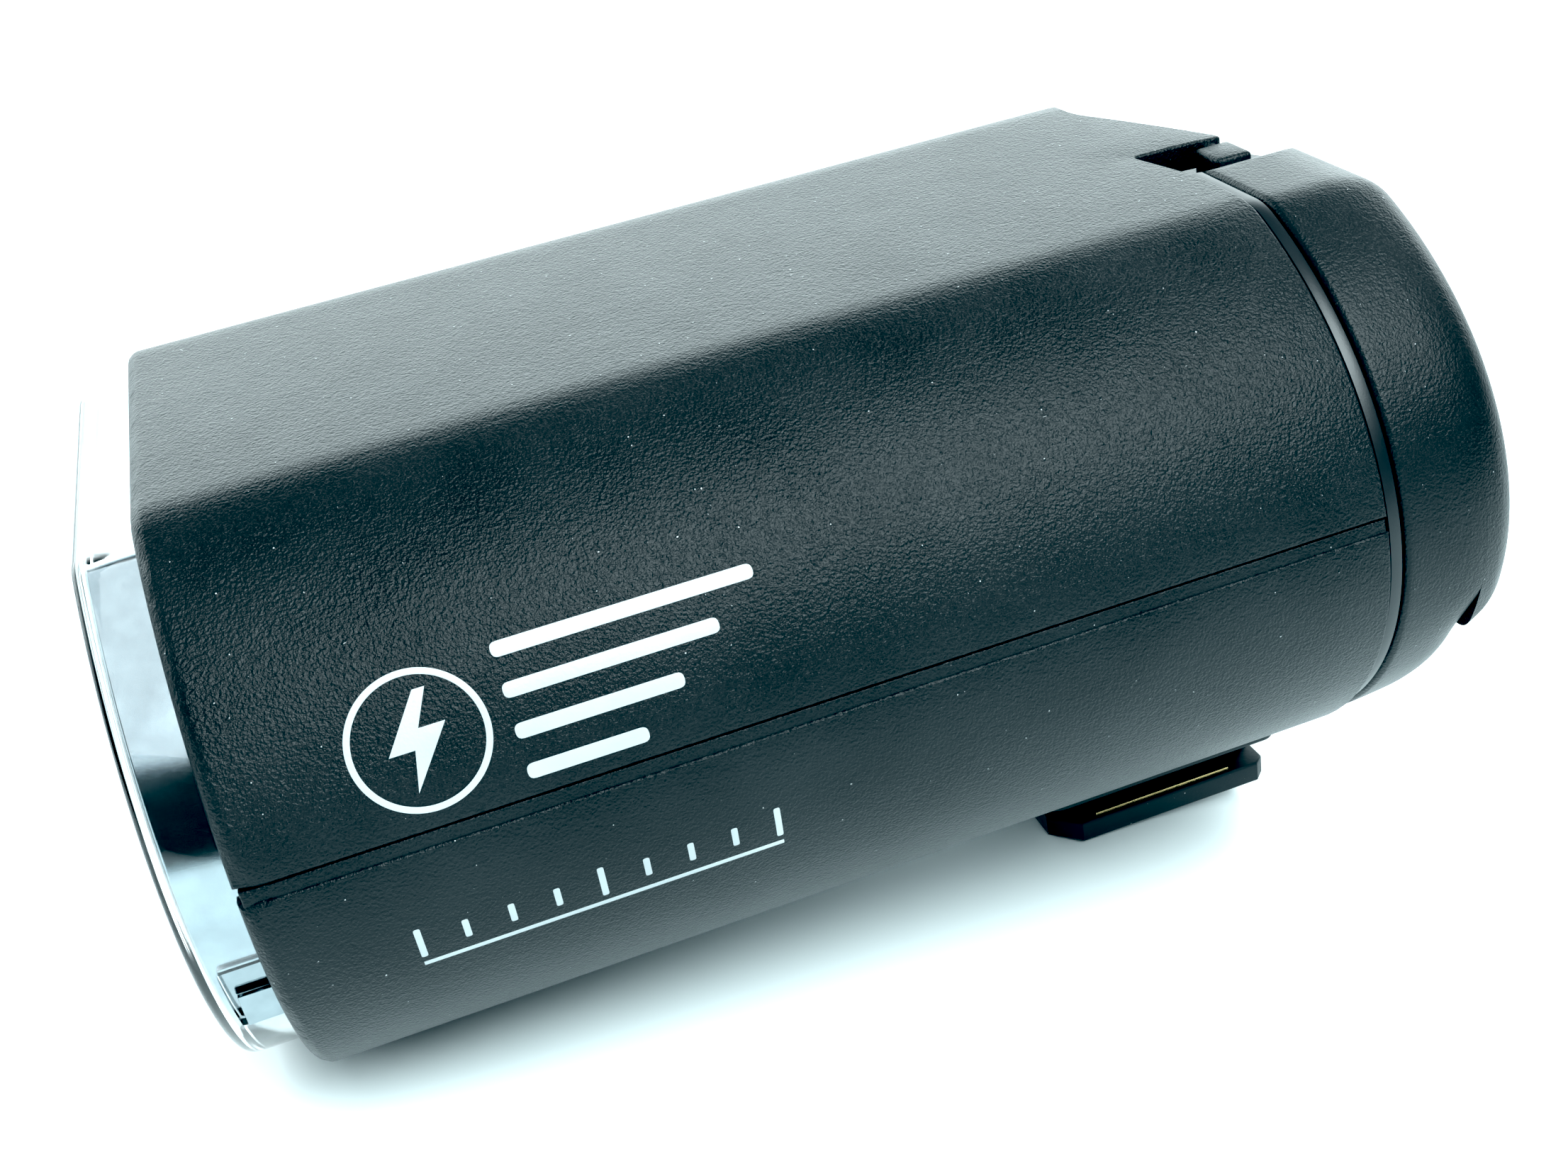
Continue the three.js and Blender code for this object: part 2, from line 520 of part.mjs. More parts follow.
function slider({ x, knob, travel }, name) {
  const start = x - travel / 2;
  const grip = block([start - knob, start + knob], [-0.9, 1], [-1.6, 1.6]);
  const skirt = block([start - knob - 0.7, start + knob + 0.7], [-2.4, -1.7], [-2.6, 2.6]);
  const stem = block([start - knob + 0.2, start + knob - 0.2], [-2, 0], [-1.3, 1.3]);
  add(name, grip.add(skirt).add(stem), GREY_PLASTIC, panelFrame);
}

function controls() {
  const { halfLength, halfHeight, plate } = PANEL;
  const [length, height] = [halfLength - GAP, halfHeight - GAP];
  let face = block([-length, length], [-plate, 0], [-height, height]);
  for (const { x, slot } of [SWITCH, SELECTOR]) {
    face = face.subtract(block([x - slot, x + slot], [-5, 5], [-1.9, 1.9]));
  }
  face = face.subtract(rod("y", BUTTON.radius + 0.3, [-5, 5], [BUTTON.x, 0]));
  face = face.subtract(rod("y", LAMP.radius + 0.3, [-5, 5], [LAMP.x, 0], 12));
  add("control_panel", face, SMOOTH_BLACK, panelFrame);
  slider(SWITCH, "power_switch");
  slider(SELECTOR, "aperture_selector");
  add("test_button", rod("y", BUTTON.radius, [-1.9, 0.8], [BUTTON.x, 0]), WHITE_PLASTIC, panelFrame);
  add("button_spring", spring("y", 1.4, 0.12, 2.5, [-3, -2.1], [BUTTON.x, 0]), STEEL, panelFrame);
  add("ready_lamp", rod("y", LAMP.radius, [-2.4, 0.3], [LAMP.x, 0], 12), RED_LENS, panelFrame);
  add("switch_board", block([-17, 17], [-4.6, -3.9], [-4.2, 5.5]), GREEN_BOARD, panelFrame);
  const jack = rod("y", SOCKET.radius, [-5, 1.1], [SOCKET.x, 0]);
  add("sync_socket", jack.subtract(rod("y", 1.3, [-4, 5], [SOCKET.x, 0], 12)), STEEL, panelFrame);
}

function foot() {
  const { front, rear, halfWidth, bottom, plate, neck, chamfer } = FOOT;
  const { radius, hole, sunk, x } = CONTACT;
  const plan = [
    [front, -halfWidth + chamfer], [front + chamfer, -halfWidth], [rear, -halfWidth],
    [rear, halfWidth], [front + chamfer, halfWidth], [front, halfWidth - chamfer],
  ];
  const riser = block([front + 1, rear], [-neck, neck], [bottom + plate - 0.5, PEDESTAL.bottom - GAP]);
  const pinHole = rod("z", hole, [-40, -20], [x, 0], 16);
  let shoe = prism(plan, [bottom, bottom + plate]).add(riser).subtract(pinHole);
  const { halfWidth: side } = PEDESTAL;
  const outer = barrel([-5, -GAP], [100, -GAP]);
  let base = block([PEDESTAL.front, PEDESTAL.rear], [-side, side], [PEDESTAL.bottom, -18]).subtract(outer);
  base = base.subtract(rod("z", 2.3, [-40, -25.8], [x, 0], 16));
  for (const [sx, sy] of FOOT_SCREWS) {
    shoe = shoe.subtract(rod("z", 1.9, [-40, -33.1], [sx, sy], 12));
    shoe = shoe.subtract(rod("z", 1.1, [-40, -20], [sx, sy], 12));
    base = base.subtract(rod("z", 1.1, [-40, -26.6], [sx, sy], 12));
  }
  add("foot_pedestal", base, BLACK_PLASTIC);
  add("shoe_foot", shoe, BLACK_PLASTIC);
  for (const [i, [sx, sy]] of FOOT_SCREWS.entries()) {
    const head = rod("z", 1.6, [bottom + 0.2, -33.4], [sx, sy], 12);
    add(`foot_screw_${i + 1}`, head.add(rod("z", 0.8, [-33.5, -27], [sx, sy], 12)), STEEL);
  }
  const pin = rod("z", radius, [bottom + sunk, -29.3], [x, 0], 16);
  add("contact_pin", pin.add(rod("z", 1.9, [-29.7, -29], [x, 0], 16)), BRASS);
  add("contact_spring", spring("z", 1.3, 0.18, 3.5, [-28.8, -26], [x, 0]), STEEL);
  for (const [sideName, s] of [["near", -1], ["far", 1]]) {
    const across = s < 0 ? [-halfWidth + 0.4, -neck - 0.5] : [neck + 0.5, halfWidth - 0.4];
    const strip = block([66, 79], across, [bottom + plate + 0.05, bottom + plate + 0.3]);
    add(`ground_strip_${sideName}`, strip, BRASS);
  }
}

shells();
frontWindow();
frontFrame();
lightUnit();
batteryCage();
cells();
capacitor();
electronics();
hatch();
calculator();
latch();
controls();
foot();

export default flash;
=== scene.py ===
"""The looks of a camera-shoe speedlight flash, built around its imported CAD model.

Shapes are worked out in millimetres in the barrel's own frame: x runs back from the front
edge of the case, z is height above the middle of the case, and the printed side faces -Y.
world() turns a point into the shared frame.
"""

import math

import bmesh
import bpy
import numpy as np
from mathutils import Matrix, Vector
from mathutils.geometry import delaunay_2d_cdt

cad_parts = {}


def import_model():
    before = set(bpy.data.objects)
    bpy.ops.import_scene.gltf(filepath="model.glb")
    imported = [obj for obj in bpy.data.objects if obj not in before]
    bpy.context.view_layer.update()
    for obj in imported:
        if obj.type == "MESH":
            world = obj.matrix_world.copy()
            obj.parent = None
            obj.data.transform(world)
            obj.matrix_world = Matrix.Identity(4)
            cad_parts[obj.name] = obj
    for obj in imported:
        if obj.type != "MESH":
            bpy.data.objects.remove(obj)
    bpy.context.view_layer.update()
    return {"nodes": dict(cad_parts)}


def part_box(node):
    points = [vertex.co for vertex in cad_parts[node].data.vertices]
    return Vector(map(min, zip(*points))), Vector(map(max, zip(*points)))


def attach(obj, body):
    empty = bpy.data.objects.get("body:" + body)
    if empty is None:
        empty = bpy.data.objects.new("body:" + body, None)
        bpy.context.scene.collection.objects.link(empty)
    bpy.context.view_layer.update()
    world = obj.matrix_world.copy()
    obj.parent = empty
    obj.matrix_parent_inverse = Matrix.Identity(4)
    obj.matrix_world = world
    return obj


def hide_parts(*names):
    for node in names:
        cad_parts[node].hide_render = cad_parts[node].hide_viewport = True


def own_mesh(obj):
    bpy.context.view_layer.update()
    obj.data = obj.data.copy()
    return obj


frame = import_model()

MM = 0.001
TOP_FLAT = 22.6
BOTTOM_FLAT = 24.8
HALF_WIDTH = 33.0
UPPER_RISE = 25.8
LOWER_RISE = 25.4
EDGE_FILLET = 6.0
CASE_LENGTH = 79.3
WALL = 2.0
SEAM = 3.9
SEAM_BAND = 0.52  # half the height of the recessed band between the two case halves
SHARP = 32  # degrees between faces from which an edge shows as a crease

shell_low, shell_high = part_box("upper_shell")
BARREL = Vector((shell_low.x, 0, shell_high.z - TOP_FLAT * MM))


def world(points):
    return np.asarray(points, float) * MM + np.array(BARREL)


# ---- The case's section: two half ellipses, flat above and below, with rounded edges between
HALVINGS = 40
ELLIPSE_STEPS = 600
FILLET_STEPS = 120
FLAT_STEPS = 200


def quarter(rise, flat):
    """The section from its widest point up to the flat, as rows of y, z and outward normal."""

    def on_ellipse(t):
        point = np.array([HALF_WIDTH * math.cos(t), rise * math.sin(t)])
        normal = np.array([math.cos(t) / HALF_WIDTH, math.sin(t) / rise])
        return point, normal / np.linalg.norm(normal)

    low, high = 0.0, math.pi / 2
    for _ in range(HALVINGS):
        middle = (low + high) / 2
        point, normal = on_ellipse(middle)
        if point[1] - EDGE_FILLET * normal[1] < flat - EDGE_FILLET:
            low = middle
        else:
            high = middle
    points = [on_ellipse(low * i / ELLIPSE_STEPS) for i in range(ELLIPSE_STEPS + 1)]
    point, normal = points[-1]
    centre = point - EDGE_FILLET * normal
    start = math.atan2(normal[1], normal[0])
    for i in range(1, FILLET_STEPS + 1):
        angle = start + (math.pi / 2 - start) * i / FILLET_STEPS
        out = np.array([math.cos(angle), math.sin(angle)])
        points.append((centre + EDGE_FILLET * out, out))
    return np.array([np.concatenate(p) for p in points])


def oval():
    upper, lower = quarter(UPPER_RISE, TOP_FLAT), quarter(LOWER_RISE, BOTTOM_FLAT)

    def across(half):
        flat = np.linspace(half[-1], half[-1] * [-1, 1, -1, 1], FLAT_STEPS + 1)[1:-1]
        return np.vstack([half, flat, half[::-1] * [-1, 1, -1, 1]])

    down = across(lower)[::-1] * [1, -1, 1, -1]
    ring = np.vstack([across(upper), down[1:-1]])
    return np.vstack([ring, ring[:1]])


OVAL = oval()
ARC = np.concatenate([[0], np.cumsum(np.linalg.norm(np.diff(OVAL[:, :2], axis=0), axis=1))])
ROUND = ARC[-1]  # the section's whole way round


def on_case(arc, inset=0.0):
    """[y, z] on the section at a way round it, which starts at the far side and goes over the top."""
    y, z, ny, nz = (np.interp(np.mod(arc, ROUND), ARC, OVAL[:, k]) for k in range(4))
    length = np.hypot(ny, nz)
    return np.stack([y - ny / length * inset, z - nz / length * inset], axis=-1)


def arc_near(y, z):
    """The way round to the point of the section closest to a place."""
    return float(ARC[np.argmin(np.hypot(OVAL[:, 0] - y, OVAL[:, 1] - z))])


def arc_at_height(z, side):
    """The way round to a height on one side, -1 near or 1 far, from 0 up to a whole turn."""
    rise = UPPER_RISE if z > 0 else LOWER_RISE
    y = side * HALF_WIDTH * math.sqrt(max(0, 1 - (z / rise) ** 2))
    return arc_near(y, z)


# ---- Meshes
def in_scene(name, data):
    item = bpy.data.objects.new(name, data)
    bpy.context.scene.collection.objects.link(item)
    return item


def make(name, vertices, faces, material, body, slot=None, replaces=(), smooth=SHARP):
    """A piece from points in the barrel's frame, riding on a CAD body."""
    mesh = bpy.data.meshes.new(name)
    mesh.from_pydata(world(vertices).tolist(), [], [[int(i) for i in f] for f in faces])
    mesh.validate()
    tidy = bmesh.new()
    tidy.from_mesh(mesh)
    bmesh.ops.remove_doubles(tidy, verts=tidy.verts, dist=2e-6)
    bmesh.ops.recalc_face_normals(tidy, faces=tidy.faces)
    tidy.to_mesh(mesh)
    tidy.free()
    mesh.shade_smooth()
    mesh.set_sharp_from_angle(angle=math.radians(smooth))
    piece = in_scene(name, mesh)
    mesh.materials.append(material)
    if body:
        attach(piece, body)
    if replaces:
        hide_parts(*replaces)
    return piece


def joined(*bodies):
    """One set of points and faces from several closed surfaces."""
    points, faces = [], []
    for body_points, body_faces in bodies:
        start = len(points)
        points.extend(np.asarray(body_points, float).tolist())
        faces.extend([[start + i for i in face] for face in body_faces])
    return points, faces


def inside(points, loop):
    """Which points lie inside a closed loop."""
    x, y = points[:, 0], points[:, 1]
    result = np.zeros(len(points), bool)
    for (x0, y0), (x1, y1) in zip(loop, np.roll(loop, -1, axis=0)):
        crosses = (y0 > y) != (y1 > y)
        slope = (x1 - x0) / (y1 - y0) if y1 != y0 else 0
        result ^= crosses & (x < x0 + slope * (y - y0))
    return result


def within(points, outline, holes):
    """Which points lie inside an outline and outside its holes."""
    result = inside(points, outline)
    for hole in holes:
        result &= ~inside(points, hole)
    return result


def area_of(loop):
    x, y = loop[:, 0], loop[:, 1]
    return 0.5 * np.sum(x * np.roll(y, -1) - np.roll(x, -1) * y)


def stepped(loop, step):
    """A loop with its long edges cut into steps."""
    points = []
    for a, b in zip(loop, np.roll(loop, -1, axis=0)):
        count = max(1, int(math.ceil(np.linalg.norm(b - a) / step)))
        points.extend(a + (b - a) * i / count for i in range(count))
    return np.array(points)


def drawn_in(loop, distance):
    """A loop moved towards its left side, which is inward when it runs anticlockwise."""
    ahead = np.roll(loop, -1, axis=0) - loop
    ahead /= np.linalg.norm(ahead, axis=1)[:, None]
    behind = np.roll(ahead, 1, axis=0)
    normal = np.stack([-(ahead + behind)[:, 1], (ahead + behind)[:, 0]], axis=1)
    normal /= np.linalg.norm(normal, axis=1)[:, None]
    left = np.stack([-ahead[:, 1], ahead[:, 0]], axis=1)
    share = np.clip(np.sum(normal * left, axis=1), 0.5, 1)
    return loop + normal * (distance / share)[:, None]


def plate(outline, place, thickness, edge=0.25, back=0.0, holes=(), step=2.0, grid=((), ())):
    """A plate with rounded edges, from an outline and holes in [u, v].

    place(u, v, depth) gives the points; depth runs from the outer face inwards.
    grid holds the u and v stations of the points inside, so that a wrapped plate follows its curve.
    """
    loops = []
    for turn, loop in [(1, outline)] + [(-1, hole) for hole in holes]:
        loop = np.asarray(loop, float)
        loop = loop if area_of(loop) * turn > 0 else loop[::-1]
        loops.append(stepped(loop, step))
    angles = np.radians([0, 25, 50, 70, 90])
    uv, depth, rear, strips, inner = [], [], [], [], []
    for loop in loops:
        rings = []
        for angle in angles:
            moved = drawn_in(loop, edge * (1 - math.cos(angle))) if angle else loop
            rings.append(len(uv) + np.arange(len(loop)))
            uv.extend(moved)
            depth.extend([edge * (1 - math.sin(angle))] * len(loop))
            rear.extend([thickness - back * (1 - math.sin(angle))] * len(loop))
        strips.append(rings)
        inner.append(rings[-1])
    uv = np.array(uv)
    us, vs = grid
    if len(us) and len(vs):
        field = np.array([(u, v) for u in us for v in vs], float)
        keep = within(field, uv[inner[0]], [uv[ring] for ring in inner[1:]])
        borders = np.vstack([uv[ring] for ring in inner])
        close = np.min(np.linalg.norm(field[:, None] - borders[None], axis=2), axis=1)
        field = field[keep & (close > 0.3 * step)]
    else:
        field = np.zeros((0, 2))
    first_free = len(uv)
    uv = np.vstack([uv, field])
    depth = np.concatenate([depth, np.zeros(len(field))])
    rear = np.concatenate([rear, np.full(len(field), thickness)])
    used = np.concatenate(inner + [np.arange(first_free, len(uv))])
    place_of = {int(k): i for i, k in enumerate(used)}
    steps = [(a, b) for ring in inner for a, b in zip(ring, np.roll(ring, -1))]
    borders = [(place_of[int(a)], place_of[int(b)]) for a, b in steps]
    made = delaunay_2d_cdt([Vector(uv[k]) for k in used], borders, [], 0, 1e-7)
    back_to = [int(used[ids[0]]) for ids in made[3]]
    triangles = np.array([[back_to[i] for i in f] for f in made[2]])
    centres = uv[triangles].mean(axis=1)
    triangles = triangles[within(centres, uv[inner[0]], [uv[ring] for ring in inner[1:]])]
    count = len(uv)
    front_points = place(uv[:, 0], uv[:, 1], depth)
    back_points = place(uv[:, 0], uv[:, 1], rear)
    faces = [list(t) for t in triangles] + [[i + count for i in t[::-1]] for t in triangles]
    for rings in strips:
        for a, b in zip(rings[:-1], rings[1:]):
            quads = zip(a, np.roll(a, -1), np.roll(b, -1), b)
            for quad in quads:
                faces.append(list(quad))
                faces.append([i + count for i in quad[::-1]])
        rim = rings[0]
        for a, b in zip(rim, np.roll(rim, -1)):
            faces.append([b, a, a + count, b + count])
    return np.vstack([front_points, back_points]), faces


def loft(rings, closed=False):
    """A skin through rings of points that all have the same count, capped unless closed."""
    count = len(rings[0])
    points = np.vstack(rings)
    faces = []
    pairs = len(rings) if closed else len(rings) - 1
    for r in range(pairs):
        a, b = r * count, ((r + 1) % len(rings)) * count
        for i in range(count):
            j = (i + 1) % count
            faces.append([a + i, a + j, b + j, b + i])
    if not closed:
        faces.append(list(range(count))[::-1])
        faces.append(list(range(len(points) - count, len(points))))
    return points, faces


def case_ring(x, inset, arcs):
    yz = on_case(arcs, inset)
    return np.column_stack([np.full(len(arcs), x), yz])


FULL_TURN = np.linspace(0, ROUND, 260, endpoint=False)


def angles_round(count):
    return np.linspace(0, 2 * math.pi, count, endpoint=False)


def lathe(profile, axis, centre, sides=64):
    """A turned body from a profile of (station, radius) along an axis; stations of radius 0 close it."""
    order = {"x": (0, 1, 2), "y": (1, 2, 0), "z": (2, 0, 1)}[axis]
    angles = angles_round(sides)
    rings = []
    for station, radius in profile:
        ring = np.zeros((sides, 3))
        ring[:, order[0]] = station
        ring[:, order[1]] = centre[0] + max(radius, 1e-3) * np.cos(angles)
        ring[:, order[2]] = centre[1] + max(radius, 1e-3) * np.sin(angles)
        rings.append(ring)
    return rings


def turned(profile, axis, centre, sides=64, closed=False):
    """centre holds the two other places, in the order that follows the axis round x, y, z."""
    return loft(lathe(profile, axis, centre, sides), closed=closed)


def rounded(x, y, z, radius=0.3, segments=3):
    """A block between two places on each axis, with rounded edges."""
    shape = bmesh.new()
    bmesh.ops.create_cube(shape, size=1)
    middle = [(a + b) / 2 for a, b in (x, y, z)]
    size = [b - a for a, b in (x, y, z)]
    for vertex in shape.verts:
        vertex.co = Vector([m + s * c for m, s, c in zip(middle, size, vertex.co)])
    width = {"offset": radius, "segments": segments, "profile": 0.5}
    bmesh.ops.bevel(shape, geom=shape.edges[:], affect="EDGES", **width)
    points = [list(v.co) for v in shape.verts]
    shape.verts.index_update()
    faces = [[v.index for v in f.verts] for f in shape.faces]
    shape.free()
    return points, faces


def shortened(piece):
    """Gives a spring its own copy of its mesh."""
    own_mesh(piece)


def tube(path, radius, sides=10):
    """A closed tube along a line of points."""
    path = np.asarray(path, float)
    ahead = np.gradient(path, axis=0)
    ahead /= np.linalg.norm(ahead, axis=1)[:, None]
    side = np.cross(ahead[0], [0.31, 0.83, 0.46])  # any direction that the line never takes
    angles = angles_round(sides)[:, None]
    rings = []
    for point, direction in zip(path, ahead):
        side = side - direction * np.dot(side, direction)
        side /= np.linalg.norm(side)
        other = np.cross(direction, side)
        rings.append(point + radius * (np.cos(angles) * side + np.sin(angles) * other))
    return loft(rings)


def coil(axis, radius, wire, turns, ends, centre):
    """A compression spring along an axis with its end turns closed up."""
    t = np.linspace(0, 1, int(turns * 26))
    along = ends[0] + wire + (ends[1] - ends[0] - 2 * wire) * (t - 0.12 * np.sin(2 * math.pi * t) / 2)
    u = centre[0] + radius * np.cos(2 * math.pi * turns * t)
    v = centre[1] + radius * np.sin(2 * math.pi * turns * t)
    line = {"x": (along, u, v), "y": (u, along, v), "z": (u, v, along)}[axis]
    return tube(np.column_stack(line), wire)


def combine(piece, tool):
    """Takes another object out of a piece, and removes that object."""
    change = piece.modifiers.new("cut", "BOOLEAN")
    change.operation = "DIFFERENCE"
    change.solver = "EXACT"
    change.object = tool
    graph = bpy.context.evaluated_depsgraph_get()
    result = bpy.data.meshes.new_from_object(piece.evaluated_get(graph))
    piece.modifiers.clear()
    material = piece.data.materials[0]
    piece.data = result
    result.materials.clear()
    result.materials.append(material)
    bpy.data.objects.remove(tool)
    result.shade_smooth()
    result.set_sharp_from_angle(angle=math.radians(SHARP))


def cut(piece, cutters):
    """Cuts a piece with closed bodies, each (points, faces) in the barrel's frame."""
    for points, faces in cutters:
        combine(piece, make("cutter", points, faces, piece.data.materials[0], None))


def append(piece, points, faces):
    """Adds a closed body to a piece that is already made."""
    shape = bmesh.new()
    shape.from_mesh(piece.data)
    new = [shape.verts.new(p) for p in world(points).tolist()]
    for face in faces:
        shape.faces.new([new[i] for i in face]).smooth = True
    bmesh.ops.recalc_face_normals(shape, faces=shape.faces)
    shape.to_mesh(piece.data)
    shape.free()
    piece.data.set_sharp_from_angle(angle=math.radians(SHARP))


def curved(stations, steps=4):
    """A smooth line through (x, inset) stations."""
    p = np.array([stations[0]] + list(stations) + [stations[-1]], float)
    line = []
    for i in range(1, len(p) - 2):
        for t in np.linspace(0, 1, steps, endpoint=False):
            a, b, c, d = p[i - 1 : i + 3]
            cubic = 2 * b + (c - a) * t + (2 * a - 5 * b + 4 * c - d) * t**2
            line.append(0.5 * (cubic + (3 * b - a - 3 * c + d) * t**3))
    line.append(p[-2])
    return np.array(line)


def circle(u, v, radius, count=48):
    t = angles_round(count)
    return np.column_stack([u + radius * np.cos(t), v + radius * np.sin(t)])


def soft_corners(loop, radius, count=5):
    """A loop with its corners rounded; radius is one number, or one for each corner."""
    loop = np.asarray(loop, float)
    radii = np.broadcast_to(radius, len(loop))
    points = []
    neighbours = zip(np.roll(loop, 1, axis=0), loop, np.roll(loop, -1, axis=0), radii)
    for before, corner, after, r in neighbours:
        if r == 0:
            points.append(corner)
            continue
        a = corner + (before - corner) * r / np.linalg.norm(before - corner)
        b = corner + (after - corner) * r / np.linalg.norm(after - corner)
        for t in np.linspace(0, 1, count + 1):
            points.append((1 - t) ** 2 * a + 2 * t * (1 - t) * corner + t**2 * b)
    return np.array(points)


def rectangle(u0, u1, v0, v1):
    return [(u0, v0), (u1, v0), (u1, v1), (u0, v1)]


def flat(axis, start, direction=1):
    """place() for a plate whose outer face is at one station and whose depth runs along the axis."""

    def place(u, v, depth):
        level = start + direction * depth
        return {"x": np.column_stack([level, u, v]), "z": np.column_stack([u, v, level])}[axis]

    return place


# ---- Materials
def shader(name, color, roughness, metallic=0.0):
    made = bpy.data.materials.new(name)
    made.use_nodes = True
    surface = made.node_tree.nodes["Principled BSDF"]
    surface.inputs["Base Color"].default_value = (*color, 1)
    surface.inputs["Roughness"].default_value = roughness
    surface.inputs["Metallic"].default_value = metallic
    return made, surface


def node(made, kind, **values):
    new = made.node_tree.nodes.new(kind)
    for key, value in values.items():
        if key in new.inputs:
            new.inputs[key].default_value = value
        else:
            setattr(new, key, value)
    return new


def link(made, source, target):
    made.node_tree.links.new(source, target)


def noise(made, size, detail=2.0, stretch=(1, 1, 1)):
    """Noise whose features are about size millimetres across, stretched along each axis."""
    where = node(made, "ShaderNodeTexCoord")
    mapping = node(made, "ShaderNodeMapping")
    mapping.inputs["Scale"].default_value = stretch
    link(made, where.outputs["Object"], mapping.inputs["Vector"])
    texture = node(made, "ShaderNodeTexNoise", Scale=1 / (size * MM), Detail=detail)
    link(made, mapping.outputs["Vector"], texture.inputs["Vector"])
    return texture.outputs["Fac"]


def spread(made, value, low, high, start=0.3, end=0.7):
    """A value from start to end mapped to low to high."""
    mapped = node(made, "ShaderNodeMapRange")
    mapped.inputs["From Min"].default_value = start
    mapped.inputs["From Max"].default_value = end
    mapped.inputs["To Min"].default_value = low
    mapped.inputs["To Max"].default_value = high
    link(made, value, mapped.inputs["Value"])
    return mapped.outputs["Result"]


def scaled(color, factor):
    return tuple(c * factor for c in color)


def blend_colors(made, value, first, second):
    """A mix of two colours; the first can also be the output of another node."""
    mix = node(made, "ShaderNodeMix", data_type="RGBA")
    link(made, value, mix.inputs["Factor"])
    if isinstance(first, bpy.types.NodeSocket):
        link(made, first, mix.inputs[6])
    else:
        mix.inputs[6].default_value = (*first, 1)
    mix.inputs[7].default_value = (*second, 1)
    return mix.outputs[2]


def vary_color(made, surface, value, first, second):
    link(made, blend_colors(made, value, first, second), surface.inputs["Base Color"])


def vary_roughness(made, surface, value, low, high):
    link(made, spread(made, value, low, high), surface.inputs["Roughness"])


def bumps(made, surface, layers):
    """Bump layers of (size, strength, height, stretch), one on another; lengths in millimetres."""
    below = None
    for size, strength, height, stretch in layers:
        bump = node(made, "ShaderNodeBump", Strength=strength, Distance=height * MM)
        link(made, noise(made, size, 2.0, stretch), bump.inputs["Height"])
        if below:
            link(made, below, bump.inputs["Normal"])
        below = bump.outputs["Normal"]
    link(made, below, surface.inputs["Normal"])


EVEN = (1, 1, 1)
DUST = (0.35, 0.38, 0.39)


def grained(name, color, roughness, grain=0.26, depth=0.05, strength=0.9, cloudy=0.35, gloss=0.5):
    """Moulded plastic with a spark-eroded grain, cloudy wear and a few pale specks of dust."""
    made, surface = shader(name, color, roughness)
    surface.inputs["Specular IOR Level"].default_value = gloss
    brighter = tuple(c * (1 + cloudy) + 0.0015 for c in color)
    cloud = spread(made, noise(made, 9.0, 3.0), 0, 1)
    tone = blend_colors(made, cloud, scaled(color, 1 - cloudy), brighter)
    dust = spread(made, noise(made, 0.2, 0.0), 0, 1, 0.88, 0.9)
    vary_color(made, surface, dust, tone, DUST)
    vary_roughness(made, surface, noise(made, 5.0, 3.0), roughness - 0.012, roughness + 0.015)
    fine = (grain, strength, depth, EVEN)
    coarse = (grain * 2.3, strength * 0.5, depth, EVEN)
    bumps(made, surface, [fine, coarse])
    return made


def plain_plastic(name, color, roughness, grain=0.15):
    made, surface = shader(name, color, roughness)
    cloud = spread(made, noise(made, 4.0, 3.0), 0, 1)
    vary_color(made, surface, cloud, scaled(color, 0.8), color)
    vary_roughness(made, surface, noise(made, 2.0), roughness - 0.05, roughness + 0.08)
    bumps(made, surface, [(grain, 0.35, 0.012, EVEN), (3.0, 0.25, 0.02, EVEN)])
    return made


def metal(name, color, roughness, stretch=EVEN, wear=0.06):
    """Metal with fine drawing marks along the stretched axis and slight tarnish."""
    made, surface = shader(name, color, roughness, 1.0)
    tarnish = spread(made, noise(made, 1.6, 3.0), 0, 1)
    vary_color(made, surface, tarnish, scaled(color, 0.82), color)
    marks = noise(made, 0.25, 3.0, stretch)
    vary_roughness(made, surface, marks, max(0.03, roughness - wear), roughness + wear)
    bumps(made, surface, [(0.25, 0.2, 0.006, stretch)])
    return made


def clear(name, color, roughness, ior, ripple=0.03):
    made, surface = shader(name, color, roughness)
    surface.inputs["Transmission Weight"].default_value = 1.0
    surface.inputs["IOR"].default_value = ior
    vary_roughness(made, surface, noise(made, 3.0, 3.0), roughness, roughness + 0.05)
    bumps(made, surface, [(6.0, 0.3, ripple, (1, 1, 0.3))])
    return made


def banded(name, stops, roughness, axis="X", metallic=0.0, low=0.0, high=1.0):
    """Colour bands along an axis between two stations in metres, as on a printed sleeve."""
    made, surface = shader(name, stops[0][1], roughness, metallic)
    where = node(made, "ShaderNodeTexCoord")
    parts = node(made, "ShaderNodeSeparateXYZ")
    link(made, where.outputs["Object"], parts.inputs["Vector"])
    ramp = node(made, "ShaderNodeValToRGB")
    ramp.color_ramp.interpolation = "CONSTANT"
    while len(ramp.color_ramp.elements) < len(stops):
        ramp.color_ramp.elements.new(0.5)
    for element, (position, color) in zip(ramp.color_ramp.elements, stops):
        element.position = position
        element.color = (*color, 1)
    link(made, spread(made, parts.outputs[axis], 0, 1, low, high), ramp.inputs["Fac"])
    link(made, ramp.outputs["Color"], surface.inputs["Base Color"])
    vary_roughness(made, surface, noise(made, 1.5), roughness - 0.05, roughness + 0.08)
    bumps(made, surface, [(0.8, 0.2, 0.01, EVEN)])
    return made


